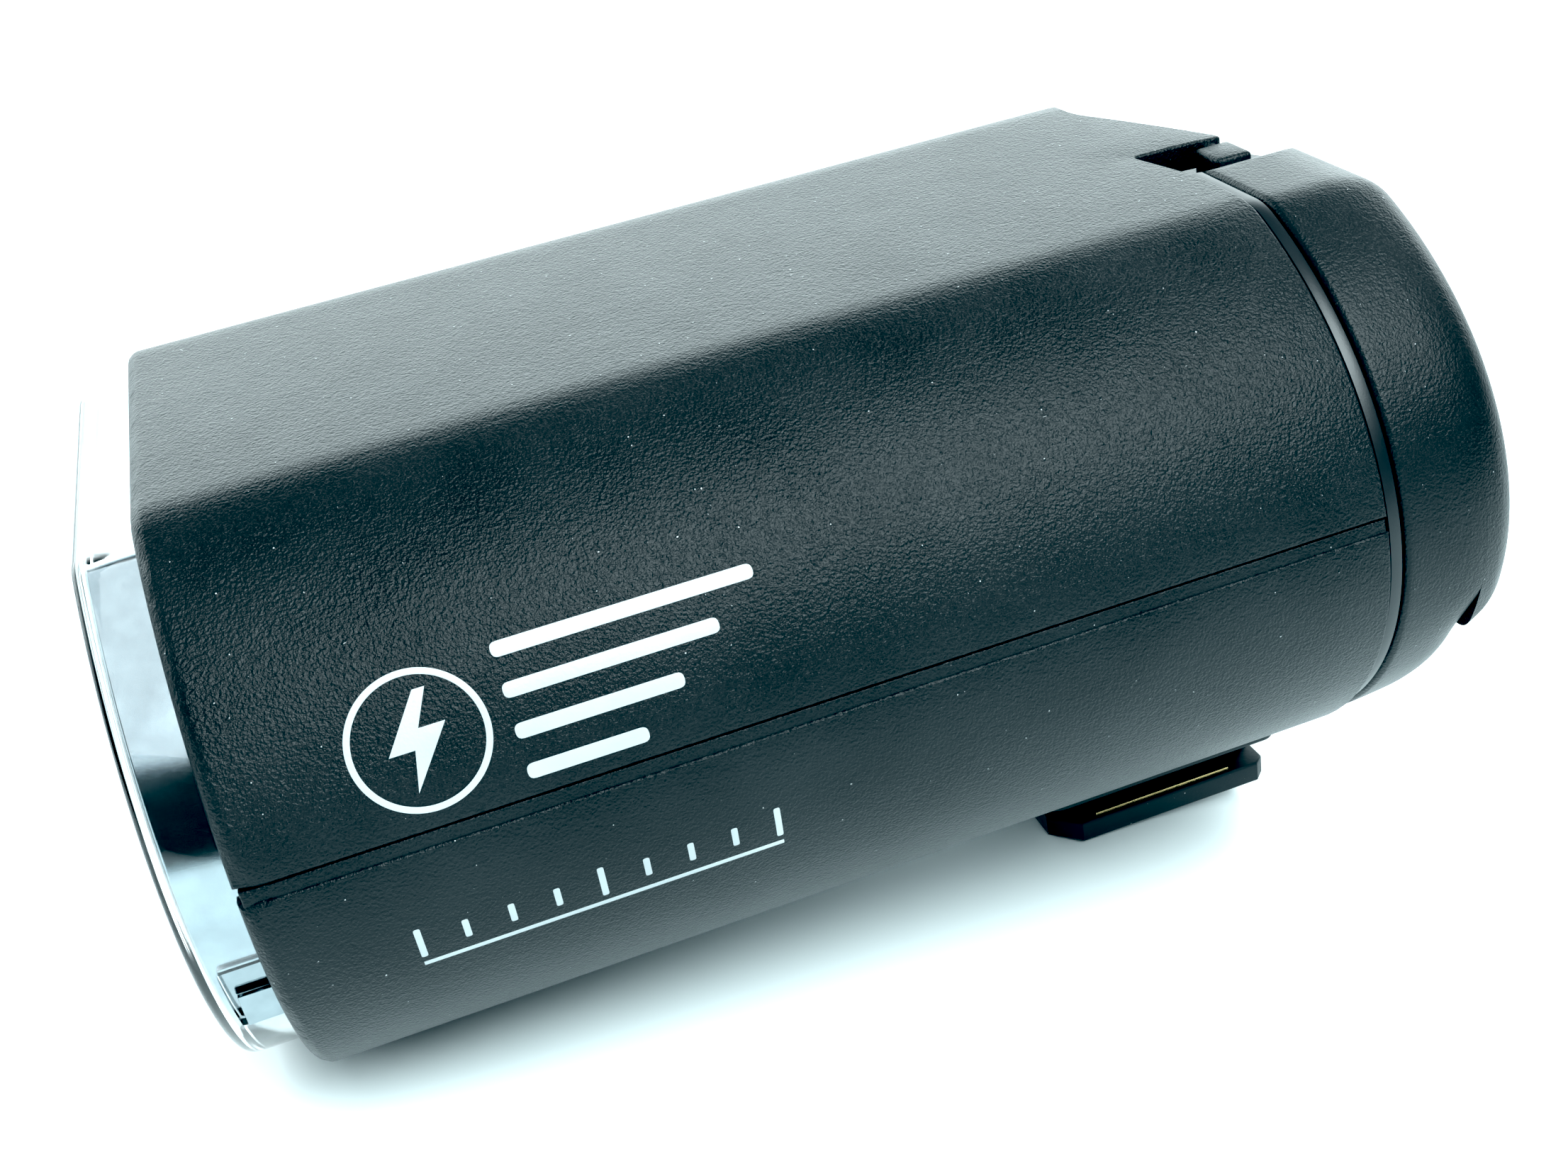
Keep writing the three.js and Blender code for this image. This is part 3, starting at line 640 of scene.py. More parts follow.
BLACK = grained("spark_grained_black", (0.004, 0.005, 0.0055), 0.36, 0.2, 0.1, 1.0, gloss=0.22)
HATCH_BLACK = grained("hatch_black", (0.004, 0.005, 0.0055), 0.38, 0.2, 0.07, 1.0, gloss=0.22)
SATIN_BLACK = grained("satin_black", (0.005, 0.006, 0.007), 0.34, 0.12, 0.012, 0.5, gloss=0.4)
FOOT_BLACK = grained("foot_black", (0.004, 0.005, 0.006), 0.5, 0.3, 0.03, 0.5, gloss=0.3)
SILVER_PRINT = grained("silver_print", (0.34, 0.39, 0.41), 0.42, 0.26, 0.03, 0.6, 0.12)
PALE_PRINT = plain_plastic("pale_print", (0.70, 0.73, 0.74), 0.5)
CLEAR = clear("clear_acrylic", (0.97, 0.99, 1.0), 0.015, 1.49)
GLASS = clear("tube_glass", (1.0, 0.99, 0.96), 0.01, 1.47, 0.01)
CHROME = metal("chrome_plating", (0.28, 0.33, 0.355), 0.12, (1, 1, 12), 0.05)
MIRROR = metal("reflector_aluminium", (0.90, 0.91, 0.92), 0.14, (8, 1, 1), 0.05)
STEEL = metal("steel", (0.55, 0.56, 0.58), 0.32)
BRASS = metal("contact_brass", (0.78, 0.60, 0.28), 0.30)
COPPER = metal("copper_winding", (0.72, 0.36, 0.20), 0.35, (1, 12, 12))
BOARD = plain_plastic("board_green", (0.02, 0.12, 0.06), 0.4, 0.6)
GREY = plain_plastic("grey_plastic", (0.16, 0.17, 0.18), 0.5)
DIAL_GREY = plain_plastic("dial_grey", (0.30, 0.32, 0.33), 0.45)
WHITE = plain_plastic("white_plastic", (0.74, 0.74, 0.72), 0.42)
RED_RUBBER = plain_plastic("red_silicone", (0.33, 0.05, 0.03), 0.6)
LAMP_RED = clear("lamp_red", (0.9, 0.06, 0.03), 0.12, 1.5, 0.01)
SLEEVE = plain_plastic("blue_sleeve", (0.02, 0.045, 0.12), 0.3)


# ---- The case
GAP = 0.12  # the gap that shows between the seam band and each case half
FRONT_ROUND = 1.1
NOTCH = {"tip": (77.7, -1.5), "end": (79.2, -8.5)}  # x, y of the cut-out beside the tongue
TONGUE = {"tip": 85.6, "near": -1.5, "rear": 12.6, "thickness": 2.2, "drop": 0.3}
PANEL_MIDDLE = (40.0, -6.0)  # x, z of the control panel on the far side
PANEL_SIZE = (18.0, 7.3)
SOCKET_X = 13.0
SCREWS = [(33, -13), (33, 13), (56, -13), (56, 13)]

upper_arcs = [arc_at_height(SEAM + SEAM_BAND, 1), arc_at_height(SEAM + SEAM_BAND, -1)]
lower_arcs = [arc_at_height(SEAM - SEAM_BAND, -1), ROUND + arc_at_height(SEAM - SEAM_BAND, 1)]


def place_case(u, v, depth):
    """u is the way round the section and v the station along the case."""
    reach = np.clip(FRONT_ROUND - v, 0, FRONT_ROUND)
    fall = FRONT_ROUND - np.sqrt(FRONT_ROUND**2 - reach**2)
    past = np.clip((v - CASE_LENGTH) / (TONGUE["tip"] - CASE_LENGTH), 0, 1)
    inset = depth + fall * np.clip(1 - depth / WALL, 0, 1) + TONGUE["drop"] * past**2
    yz = on_case(u, inset)
    return np.column_stack([v, yz])


def case_grid(arcs):
    """Stations of the points inside a case half, closer together over the rounded front edge."""
    us = np.arange(arcs[0] + 0.9, arcs[1] - 0.8, 1.25)
    vs = np.concatenate([[0.42, 0.6, 0.8, 1.0, 1.3], np.arange(4, CASE_LENGTH - 0.5, 4.7)])
    return us, vs


def build_upper_shell():
    top = lambda y: arc_near(y, TOP_FLAT)
    low, high = upper_arcs
    outline = [
        (low, 0),
        (high, 0),
        (high, CASE_LENGTH),
        (top(NOTCH["end"][1]), NOTCH["end"][0]),
        (top(TONGUE["near"]), NOTCH["tip"][0]),
        (top(TONGUE["near"]), TONGUE["tip"]),
        (top(TONGUE["rear"]), CASE_LENGTH),
        (low, CASE_LENGTH),
    ]
    outline = soft_corners(outline, [0, 0, 0, 2.0, 0.4, 0.9, 1.5, 0], 5)
    grid = case_grid(upper_arcs)
    shell = plate(outline, place_case, TONGUE["thickness"], edge=0.24, back=0.1, step=1.6, grid=grid)
    make("upper_shell_skin", *shell, BLACK, "case", "black_case", ["upper_shell"])


def seam_strip(side):
    """The recessed band that shows between the two halves, part of the lower one."""
    top = arc_at_height(SEAM + SEAM_BAND - GAP, side)
    bottom = arc_at_height(SEAM - SEAM_BAND - 0.5, side)
    low, high = min(top, bottom), max(top, bottom)

    def place(u, v, depth):
        return place_case(u, v, depth + 0.16)

    outline = rectangle(low, high, 0.35, CASE_LENGTH - 0.15)
    return plate(outline, place, 1.5, edge=0.1, step=2.5)


def build_lower_shell():
    middle = arc_near(HALF_WIDTH, PANEL_MIDDLE[1])
    length, height = PANEL_SIZE
    x = PANEL_MIDDLE[0]
    window = rectangle(middle - height, middle + height, x - length, x + length)
    holes = [soft_corners(window, 0.8, 3), circle(middle, SOCKET_X, 3.4)]
    holes += [circle(arc_near(y, -BOTTOM_FLAT), station, 3.0, 32) for station, y in SCREWS]
    low, high = lower_arcs
    outline = rectangle(low, high, 0, CASE_LENGTH)
    grid = case_grid(lower_arcs)
    shell = plate(outline, place_case, WALL, edge=0.24, holes=holes, step=1.6, grid=grid)
    wells = []
    for station, y in SCREWS:
        seat = [(-22.9, 1.4), (-22.9, 3.9), (-21.3, 3.9), (-21.3, 1.4)]
        wells.append(turned(seat, "z", (station, y), 32, closed=True))
    body = joined(shell, seam_strip(-1), seam_strip(1), *wells)
    make("lower_shell_skin", *body, BLACK, "case", "black_case", ["lower_shell"])


CORNER = {"place": (85.6, -0.9, 22.3), "turn": 24.9, "fall": 35, "wall": 2.4}  # the hatch's far top slope


def above_corner(drop=0.0):
    """A solid over the slope that takes off the hatch's far top corner, lowered by a drop."""
    points, faces = rounded((-60, 60), (-60, 60), (0, 40), 0.1, 1)
    turn = Matrix.Rotation(math.radians(CORNER["turn"]), 3, "Z")
    turn = turn @ Matrix.Rotation(math.radians(CORNER["fall"]), 3, "Y")
    return np.array(points) @ np.array(turn).T + CORNER["place"] - [0, 0, drop], faces


def build_collar():
    """The recessed ring between the case and the hatch, with gaps for the tongue and the hook."""
    outer = [(79.46, 0.75), (79.6, 0.52), (80.0, 0.46), (80.45, 0.52), (80.62, 0.75)]
    profile = [(79.46, 2.6), *outer, (80.62, 3.9), (79.6, 3.9)]
    band = loft([case_ring(x, inset, FULL_TURN) for x, inset in profile], closed=True)
    collar = make("collar_band", *band, SATIN_BLACK, "case", "black_smooth", ["collar_ring"])
    tongue_gap = rounded((78, 82), (-7, 14.5), (20.1, 30), 0.05)
    hook_gap = rounded((78, 82), (-14, -7), (-20.9, -10), 0.05)
    cut(collar, [tongue_gap, hook_gap, above_corner()])


# ---- Front window, frame, reflector and tube
WINDOW = {"front": -4.4, "rear": 5.0, "inset": 2.35, "wall": 0.65}
FRAME_INSET = 3.08
MOUTH = {"x": -0.7, "halfHeight": 12.1}
SNAP = {"x": (-3.0, 0.6), "z": (-8.2, -2.4)}
SENSOR_Z = -16.6
TUBE_X = 20.0
TROUGH_STATIONS = [MOUTH["x"], 1.5, 4, 6.5, 9, 11.5, 14, 16, 18, 19.5, 20.8, 21.8, 22.4]


def build_window():
    """A clear cup over the front end, with a slot for the frame's snap tab on each side."""
    front, rear, inset, wall = WINDOW.values()
    outer = [(front, inset + 0.62), (front + 0.05, inset + 0.4), (front + 0.2, inset + 0.18)]
    outer += [(front + 0.45, inset + 0.05), (front + 0.9, inset), (0, inset), (rear, inset)]
    inner = [(rear, inset + wall), (0, inset + wall), (front + wall + 0.3, inset + wall)]
    inner += [(front + wall + 0.05, inset + wall + 0.12), (front + wall, inset + wall + 0.4)]
    rings = [case_ring(x, i, FULL_TURN) for x, i in outer + inner]
    cup = loft(rings)
    window = make("window_cup", *cup, CLEAR, "case", "clear_window", ["front_window"], smooth=25)
    for side in (-1, 1):
        reach = sorted((side * 24, side * 36))
        cut(window, [rounded(SNAP["x"], reach, SNAP["z"], 0.15, 2)])


def build_frame():
    """The plated frame behind the window, with its snap tabs, and the reflector's mouth through it."""
    ring = on_case(FULL_TURN, FRAME_INSET + 0.05)
    mouth = soft_corners(rectangle(-22.5, 22.5, -12.5, 12.5), 4.0, 8)
    sensor = circle(0, SENSOR_Z, 2.5)
    face = plate(ring, flat("x", -3.6), 2.6, edge=0.3, holes=[mouth, sensor], step=2.5)
    band = rectangle(-3.4, 4.6, FRAME_INSET, FRAME_INSET + 0.9)
    sleeve = loft([case_ring(x, i, FULL_TURN) for x, i in band], closed=True)
    tabs = []
    for side in (-1, 1):
        reach = sorted((side * 26.6, side * 29.6))
        tabs.append(rounded((-2.5, 0.1), reach, (-7.6, -5.2), 0.1, 2))
        wedge = rounded((-2.5, 0.1), reach, (-5.0, -2.9), 0.1, 2)
        points = np.array(wedge[0])
        lean = (points[:, 2] + 5.0) / 2.1
        points[:, 1] -= side * 1.5 * np.clip(lean, 0, 1)
        tabs.append((points, wedge[1]))
    body = joined(face, sleeve, *tabs)
    make("frame_plating", *body, CHROME, "case", "chrome_plate", ["reflector_frame"])
    profile = [(-3.5, 0), (-3.45, 1.2), (-3.3, 1.9), (-3.0, 2.2), (1.6, 2.2), (1.6, 0)]
    lens = turned(profile, "x", (0, SENSOR_Z), 40)
    make("sensor_eye", *lens, SATIN_BLACK, "case", "black_smooth", ["sensor_lens"])


def rounded_ring(x, half_y, half_z, corner, count=10):
    """A rectangle with round corners, across the case at one station."""
    points = []
    for sy, sz, start in [(1, 1, 0), (-1, 1, 90), (-1, -1, 180), (1, -1, 270)]:
        for angle in np.radians(np.linspace(start, start + 90, count)):
            y = sy * (half_y - corner) + corner * math.cos(angle)
            z = sz * (half_z - corner) + corner * math.sin(angle)
            points.append([x, y, z])
    return np.array(points)


def trough_ring(x, extra):
    """The reflector's section at a station: its height follows a parabola round the tube."""
    vertex = 22.5
    depth = max((vertex - min(x, vertex)) / (vertex - MOUTH["x"]), 0)
    half_z = MOUTH["halfHeight"] * math.sqrt(max(depth, 0.006)) + extra
    half_y = 16 + 6.1 * depth + extra
    return rounded_ring(x, half_y, half_z, min(3.5, half_z * 0.8))


def build_reflector():
    """The aluminium trough, with a rolled lip at its mouth."""
    inner = [trough_ring(x, 0.0) for x in TROUGH_STATIONS]
    outer = [trough_ring(x, 0.5) for x in TROUGH_STATIONS]
    lip = [rounded_ring(MOUTH["x"] + back, 22.7, 12.7, 4.2) for back in (0, 0.5)]
    trough = loft(inner[::-1] + lip + outer)
    piece = make("reflector_trough", *trough, MIRROR, "case", "chrome_plate", ["reflector"], smooth=50)
    cut(piece, [turned([(-30, 0), (-30, 2.05), (30, 2.05), (30, 0)], "y", (0, TUBE_X), 32)])


GLASS_END = [(20.4, 1.75), (21.1, 1.5), (21.5, 0.9), (21.6, 0)]
TUBE_CAP = [(21.9, 0), (21.9, 1.4), (22.1, 1.6), (23.8, 1.6), (24.0, 1.4), (24.0, 0.4), (26.1, 0.4)]
TUBE_BOOT = [(18.9, 2.1), (18.9, 3.1), (19.2, 3.4), (20.8, 3.4), (21.1, 3.1), (21.1, 2.1)]


def build_tube():
    """The glass tube across the trough, with a steel cap and a soft boot at each end."""
    glass = [(-y, r) for y, r in GLASS_END[::-1]] + GLASS_END
    envelope = turned(glass, "y", (0, TUBE_X), 40)
    make("tube_envelope", *envelope, GLASS, "case", "tube_glass", ["flash_tube"])
    for side, name in ((-1, "near"), (1, "far")):
        profile = [(side * y, r) for y, r in TUBE_CAP + [(26.2, 0)]]
        piece = turned(profile, "y", (0, TUBE_X), 32)
        make(f"electrode_{name}", *piece, STEEL, "case", "steel", [f"tube_electrode_{name}"])
        ring = turned([(side * y, r) for y, r in TUBE_BOOT], "y", (0, TUBE_X), 40, closed=True)
        make(f"boot_{name}", *ring, RED_RUBBER, "case", "silicone", [f"tube_boot_{name}"])


# ---- The rear hatch
HATCH = {"front": 80.72, "lower_rear": 87.5, "step": -8.9, "corner": 1.2, "rise": 0.43}
CAVITY = {"rear": 88.4, "floor": 83.2, "roof": 17.2}
HIGH = [(80.72, 1.0), (80.78, 0.62), (81.0, 0.42), (81.4, 0.36), (83.5, 0.40), (86, 0.5), (87.5, 0.7)]
CROWN = [(87.5, 0.7), (88.8, 1.05), (89.7, 1.55), (90.4, 2.2), (91.0, 3.1), (91.3, 4.0), (91.4, 4.8)]
LOWER = [(80.72, 1.0), (80.78, 0.62), (81.0, 0.42), (81.4, 0.36), (83.5, 0.5), (85, 0.66), (86.3, 1.0)]
LOWER_END = [(86.3, 1.0), (87.0, 1.45), (87.35, 1.95), (87.5, 2.5)]
DISC = {"radius": 11.2, "z": 5.0, "finger": 7.8}
UPPER_COUNT, CORNER_COUNT, LOWER_COUNT = 170, 8, 90


def arc_row(start, end, count):
    return np.linspace(start, end, count, endpoint=False)


def bend(a, b, c, count):
    """A round corner from a towards b and on to c."""
    t = arc_row(0, 1, count)[:, None]
    return (1 - t) ** 2 * a + 2 * t * (1 - t) * b + t**2 * c


def full_row(x, inset, lower_inset):
    """A whole turn of the section whose part below the step has an inset of its own."""
    corner = HATCH["corner"]
    above, below = HATCH["step"] + corner, HATCH["step"] - corner
    near_a, near_b = arc_at_height(above, -1), arc_at_height(below, -1)
    far_a, far_b = arc_at_height(above, 1), arc_at_height(below, 1)
    arcs = np.concatenate([
        arc_row(far_a - ROUND, near_a, UPPER_COUNT),
        arc_row(near_a, near_b, CORNER_COUNT),
        arc_row(near_b, far_b, LOWER_COUNT),
        arc_row(far_b, far_a, CORNER_COUNT),
    ])
    way = np.minimum(np.clip(arcs - near_a + 3.5, 0, 6), np.clip(far_a + 3.5 - arcs, 0, 6)) / 6
    share = way * way * (3 - 2 * way)
    insets = inset + (lower_inset - inset) * share
    return np.column_stack([np.full(len(arcs), x), on_case(arcs, insets)])


def clipped_row(x, inset, bottom):
    """The section closed along a level line, with small round corners."""
    corner = HATCH["corner"]
    near, far = arc_at_height(bottom + corner, -1), arc_at_height(bottom + corner, 1)
    upper = on_case(arc_row(far - ROUND, near, UPPER_COUNT), inset)
    near_top, far_top = on_case(near, inset), on_case(far, inset)
    near_end = on_case(arc_at_height(bottom, -1), inset)
    far_end = on_case(arc_at_height(bottom, 1), inset)
    near_in = near_end + [corner, 0]
    far_in = far_end - [corner, 0]
    near_end[1] = near_in[1] = far_end[1] = far_in[1] = bottom
    line = near_in + (far_in - near_in) * arc_row(0, 1, LOWER_COUNT)[:, None]
    near_corner = bend(near_top, near_end, near_in, CORNER_COUNT)
    far_corner = bend(far_in, far_end, far_top, CORNER_COUNT)
    yz = np.vstack([upper, near_corner, line, far_corner])
    return np.column_stack([np.full(len(yz), x), yz])


def hatch_rows():
    """The hatch's outer skin: whole turns up to the step's face, then the crown above the step."""
    step, lower_rear, rise = HATCH["step"], HATCH["lower_rear"], HATCH["rise"]
    high, lower = curved(HIGH, 3), curved(LOWER + LOWER_END[1:], 3)
    stations = np.unique(np.round(np.concatenate([lower[:, 0], high[:, 0]]), 3))
    outer = []
    for x in stations[stations <= lower_rear]:
        outer.append(full_row(x, np.interp(x, *high.T), np.interp(x, *lower.T)))
    crown = curved(CROWN, 4)
    for x, inset in crown:
        lift = (inset - crown[0, 1]) + rise * (x - lower_rear)
        outer.append(clipped_row(x, inset, step + lift))
    return outer


def cavity_rows():
    """The hollow of the hatch, whose lower part ends at a floor in front of the step."""
    front, floor, step = HATCH["front"], CAVITY["floor"], HATCH["step"]
    whole = [(front - 0.5, 2.6), (front + 0.25, 2.7), (floor, 2.8)]
    upper = [(floor + 0.3, 2.85, 3), (86, 3.0, 3), (88, 4.0, 3.4), (CAVITY["rear"], 4.8, 4.2)]
    rows = [full_row(x, inset, inset) for x, inset in whole]
    return rows + [clipped_row(x, inset, step + lift) for x, inset, lift in upper]


def hinge_recess():
    """The room behind the hatch's flat top where the case's tongue and the hinge lie."""
    near, far, floor, above = -9.2, 14.6, 19.1, 40
    roll = [(near, 22.6), (-8.2, 22.36), (-7.2, 22.12), (-6.4, 21.82), (-5.6, 21.46)]
    section = roll + [(0.0, 19.25), (0.7, floor), (far, floor), (far, above), (near, above)]
    return loft([np.array([(x, y, z) for y, z in section]) for x in (HATCH["front"] - 2, 95)])


def build_hatch():
    shell = loft(hatch_rows())
    piece = make("hatch_shell", *shell, HATCH_BLACK, "hatch", "black_smooth", ["rear_hatch"])
    step, z = HATCH["step"], DISC["z"]
    slot_arcs = np.linspace(arc_at_height(step, -1), arc_at_height(-15.3, -1), 14)
    near = on_case(slot_arcs, 2.2)
    slot = np.vstack([near, near[::-1] * [-1, 1]])
    slot_body = plate(slot, flat("x", 84.8), 10, edge=0.02, step=3)
    rim = DISC["radius"] + 0.35
    wall = [(89.85, 0), (90.0, 0.15), (90.9, 0.15), (91.35, 0.3), (95, 0.35)]
    seat = [(89.85, 0)] + [(x, rim + wider) for x, wider in wall] + [(95, 0)]
    seat_body = turned(seat, "x", (0, z), 96)
    slit = rounded((80, 86), (-13.4, -7.6), (-14.8, -11), 0.1)
    hub = turned([(85, 0), (85, 1.3), (95, 1.3), (95, 0)], "x", (0, z), 24)
    cut(piece, [hinge_recess(), above_corner()])
    cavity = make("cutter", *loft(cavity_rows()), HATCH_BLACK, None)
    roof = rounded((70, 95), (-50, 50), (CAVITY["roof"], 40), 0.1)
    cut(cavity, [roof, above_corner(CORNER["wall"])])
    combine(piece, cavity)
    cut(piece, [slot_body, seat_body, slit, hub])
    append(piece, *rounded((82.6, 85.6), (-5.6, -1.9), (18, 22.1), 0.35))
    pin = [(-5, 0), (-5, 0.45), (-4.9, 0.55), (-0.1, 0.55), (0, 0.45), (0, 0)]
    make("hinge_rod", *turned(pin, "y", (21.45, 84.4), 24), STEEL, "hatch", "steel", ["hinge_pin"])


def printed(outline, place, step=2.0, holes=()):
    """A film of print."""
    return plate(outline, place, 0.03, edge=0.01, holes=holes, step=step)


def build_dial():
    z, radius, sides = DISC["z"], DISC["radius"], 180
    edge = [(90.3, radius), (90.8, radius), (91.02, radius - 0.35), (91.08, radius - 0.8)]
    profile = [(90.12, 1.3), (90.12, radius - 0.4), *edge, (91.08, 1.3)]
    rings = lathe(profile, "x", (0, z), sides)
    knurl = np.where(np.arange(sides) % 3 == 0, 0.22, 0.0)
    for ring in rings[2:4]:
        out = ring[:, 1:] - [0, z]
        ring[:, 1:] -= out / np.linalg.norm(out, axis=1)[:, None] * knurl[:, None]
    body = loft(rings, closed=True)
    dial = make("calculator_dial", *body, DIAL_GREY, "calculator", "grey_plastic", ["calculator_disc"])
    dimple = [(90.55, 0), (90.55, 1.7), (90.7, 2.0), (95, 2.05), (95, 0)]
    cut(dial, [turned(dimple, "x", (0, z + DISC["finger"]), 40)])


def build_calculator():
    build_dial()
    z, radius = DISC["z"], DISC["radius"]
    face = flat("x", 91.085, -1)
    marks = []
    for i in range(36):
        angle = math.radians(10 * i)
        if abs(math.degrees(angle) - 90) < 14:
            continue
        long = i % 3 == 0
        inner = radius - (2.9 if long else 2.1)
        marks.append(radial_mark(face, angle, z, inner, radius - 1.1, 0.09 if long else 0.06))
    marks.append(printed(circle(0, z, 5.8, 90), face, 1, [circle(0, z, 5.6, 90)]))
    make("dial_scale", *joined(*marks), PALE_PRINT, "calculator", "grey_plastic")
    for i, number in enumerate(["25", "50", "100", "200", "400", "800"]):
        numeral(number, math.radians(330 - 44 * i), z, 7.1)
    head = [(91.12, 2.2), (91.2, 2.2), (91.33, 2.0), (91.35, 1.8), (91.35, 0)]
    hub = turned([(87.6, 0), (87.6, 1.0), (91.12, 1.0), *head], "x", (0, z), 48)
    screw = make("dial_screw", *hub, STEEL, "hatch", "steel", ["calculator_hub"])
    cut(screw, [rounded((91.2, 92), (-0.25, 0.25), (z - 3, z + 3), 0.02)])


def radial_mark(face, angle, z, inner, outer, half):
    along = np.array([math.cos(angle), math.sin(angle)])
    across = np.array([-along[1], along[0]])
    corners = rectangle(inner, outer, -half, half)
    return printed([along * r + across * w + [0, z] for r, w in corners], face, 1)


def numeral(text, angle, z, radius):
    """A dial number, standing upright along the radius, as a thin printed plate."""
    words = bpy.data.curves.new(f"dial_number_{text}", "FONT")
    words.body = text
    words.size = 2.0 * MM
    words.extrude = 0.012 * MM
    words.align_x = "CENTER"
    words.align_y = "CENTER"
    source = in_scene(words.name, words)
    place = Vector(world([91.09, radius * math.cos(angle), z + radius * math.sin(angle)]))
    turn = Matrix(((0, 0, 1), (1, 0, 0), (0, 1, 0))).to_4x4()
    spin = Matrix.Rotation(angle - math.pi / 2, 4, "X")
    source.matrix_world = Matrix.Translation(place) @ spin @ turn
    bpy.context.view_layer.update()
    graph = bpy.context.evaluated_depsgraph_get()
    mesh = bpy.data.meshes.new_from_object(source.evaluated_get(graph))
    mesh.transform(source.matrix_world)
    bpy.data.objects.remove(source)
    piece = in_scene(words.name + "_print", mesh)
    mesh.materials.clear()
    mesh.materials.append(PALE_PRINT)
    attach(piece, "calculator")


LATCH = {"top": -9.35, "bottom": -13.5, "rear": 88.0, "lift": 1.6}
HOOK_ARMS = [
    ((81.6, 85.6), (-13, -11.6)),
    ((81.6, 82.7), (-17.9, -11.7)),
    ((77.4, 82.6), (-17.9, -17)),
    ((77.4, 78.3), (-17.8, -16.4)),
]


def build_latch():
    """A ribbed bar across the rear, with a hook that reaches forward under the case."""
    top, bottom, lift = LATCH["top"], LATCH["bottom"], LATCH["lift"]
    ends = [arc_at_height(z - lift, -1) for z in (top, bottom)]
    side = on_case(np.linspace(*ends, 5), 2.9) + [0, lift]
    bar = np.vstack([side, side[::-1] * [-1, 1]])
    bodies = [plate(bar, flat("x", LATCH["rear"], -1), 2.9, edge=0.3, back=0.2, step=3)]
    for i in range(4):
        z = top - 0.62 - i
        half = HALF_WIDTH * math.sqrt(1 - ((z - lift) / LOWER_RISE) ** 2) - 3.5
        near_end = [(-half, 0.02), (-half + 0.08, 0.25), (-half + 0.3, 0.45)]
        rib = near_end + [(-y, r) for y, r in near_end[::-1]]
        bodies.append(turned(rib, "y", (z, 88.35), 20))
    bodies += [rounded(x, (-13, -8), z, 0.2) for x, z in HOOK_ARMS]
    make("latch_bar", *joined(*bodies), SATIN_BLACK, "latch", "black_case", ["hatch_latch"])
    spring = coil("z", 0.7, 0.14, 4, (-15.1, -11.5), (86.55, 12.1))
    piece = make("latch_coil", *spring, STEEL, "hatch", "steel", ["latch_spring"])
    shortened(piece)


# ---- Controls on the far side, in the panel's own frame: along x, out of the case, up the panel
PANEL_DEPTH = 1.5
panel_share = math.sqrt(1 - (PANEL_MIDDLE[1] / LOWER_RISE) ** 2)
panel_lean = math.atan2(PANEL_MIDDLE[1] / LOWER_RISE**2, panel_share / HALF_WIDTH)
panel_out = np.array([0, math.cos(panel_lean), math.sin(panel_lean)])
panel_up = np.array([0, -math.sin(panel_lean), math.cos(panel_lean)])
panel_apex = np.array([PANEL_MIDDLE[0], HALF_WIDTH * panel_share, PANEL_MIDDLE[1]])
panel_origin = panel_apex - PANEL_DEPTH * panel_out
POWER = {"x": -11.5, "slot": 4.6, "knob": 2.0, "travel": 4.0}
SELECTOR = {"x": 12.0, "slot": 4.6, "knob": 1.5, "travel": 6.0}
BUTTON = {"x": -1.0, "radius": 2.9}
LAMP = {"x": 5.0, "radius": 1.4}


def from_panel(points):
    """Panel points (along, out, up) in the barrel's frame."""
    p = np.asarray(points, float)
    return panel_origin + p[:, :1] * [1, 0, 0] + p[:, 1:2] * panel_out + p[:, 2:3] * panel_up


def on_panel(body):
    return from_panel(body[0]), body[1]


def panel_face(level):
    return lambda u, v, depth: np.column_stack([u, level - depth, v])


def build_panel():
    slots = []
    for part in (POWER, SELECTOR):
        low, high = part["x"] - part["slot"], part["x"] + part["slot"]
        slots.append(soft_corners(rectangle(low, high, -1.9, 1.9), 0.5, 4))
    button_hole = circle(BUTTON["x"], 0, BUTTON["radius"] + 0.25)
    holes = slots + [button_hole, circle(LAMP["x"], 0, LAMP["radius"] + 0.2)]
    outline = soft_corners(rectangle(-17.7, 17.7, -6.9, 6.9), 0.8, 5)
    face = plate(outline, panel_face(0), 1.4, edge=0.25, holes=holes, step=2)
    make("panel_plate", *on_panel(face), SATIN_BLACK, "case", "black_smooth", ["control_panel"])
    build_panel_marks()


def build_panel_marks():
    """Dots at the power switch, a scale at the selector, a ring round the lamp and underlines."""
    outlines = [circle(POWER["x"] + shift, 3.6, 0.55, 24) for shift in (-2, 2)]
    for i in range(7):
        x = SELECTOR["x"] - 3 + i
        tall = 1.5 if i % 3 == 0 else 0.8
        outlines.append(rectangle(x - 0.09, x + 0.09, 2.8, 2.8 + tall))
    face = panel_face(0.02)
    marks = [printed(outline, face) for outline in outlines]
    marks.append(printed(circle(LAMP["x"], 0, 2.2), face, holes=[circle(LAMP["x"], 0, 2.0)]))
    for low, high in ((-4.6, 6.6), (6.9, 16.6), (-16.6, -4.9)):
        marks.append(printed(rectangle(low, high, -5.6, -5.45), face))
    make("panel_marks", *on_panel(joined(*marks)), PALE_PRINT, "case", "black_smooth")


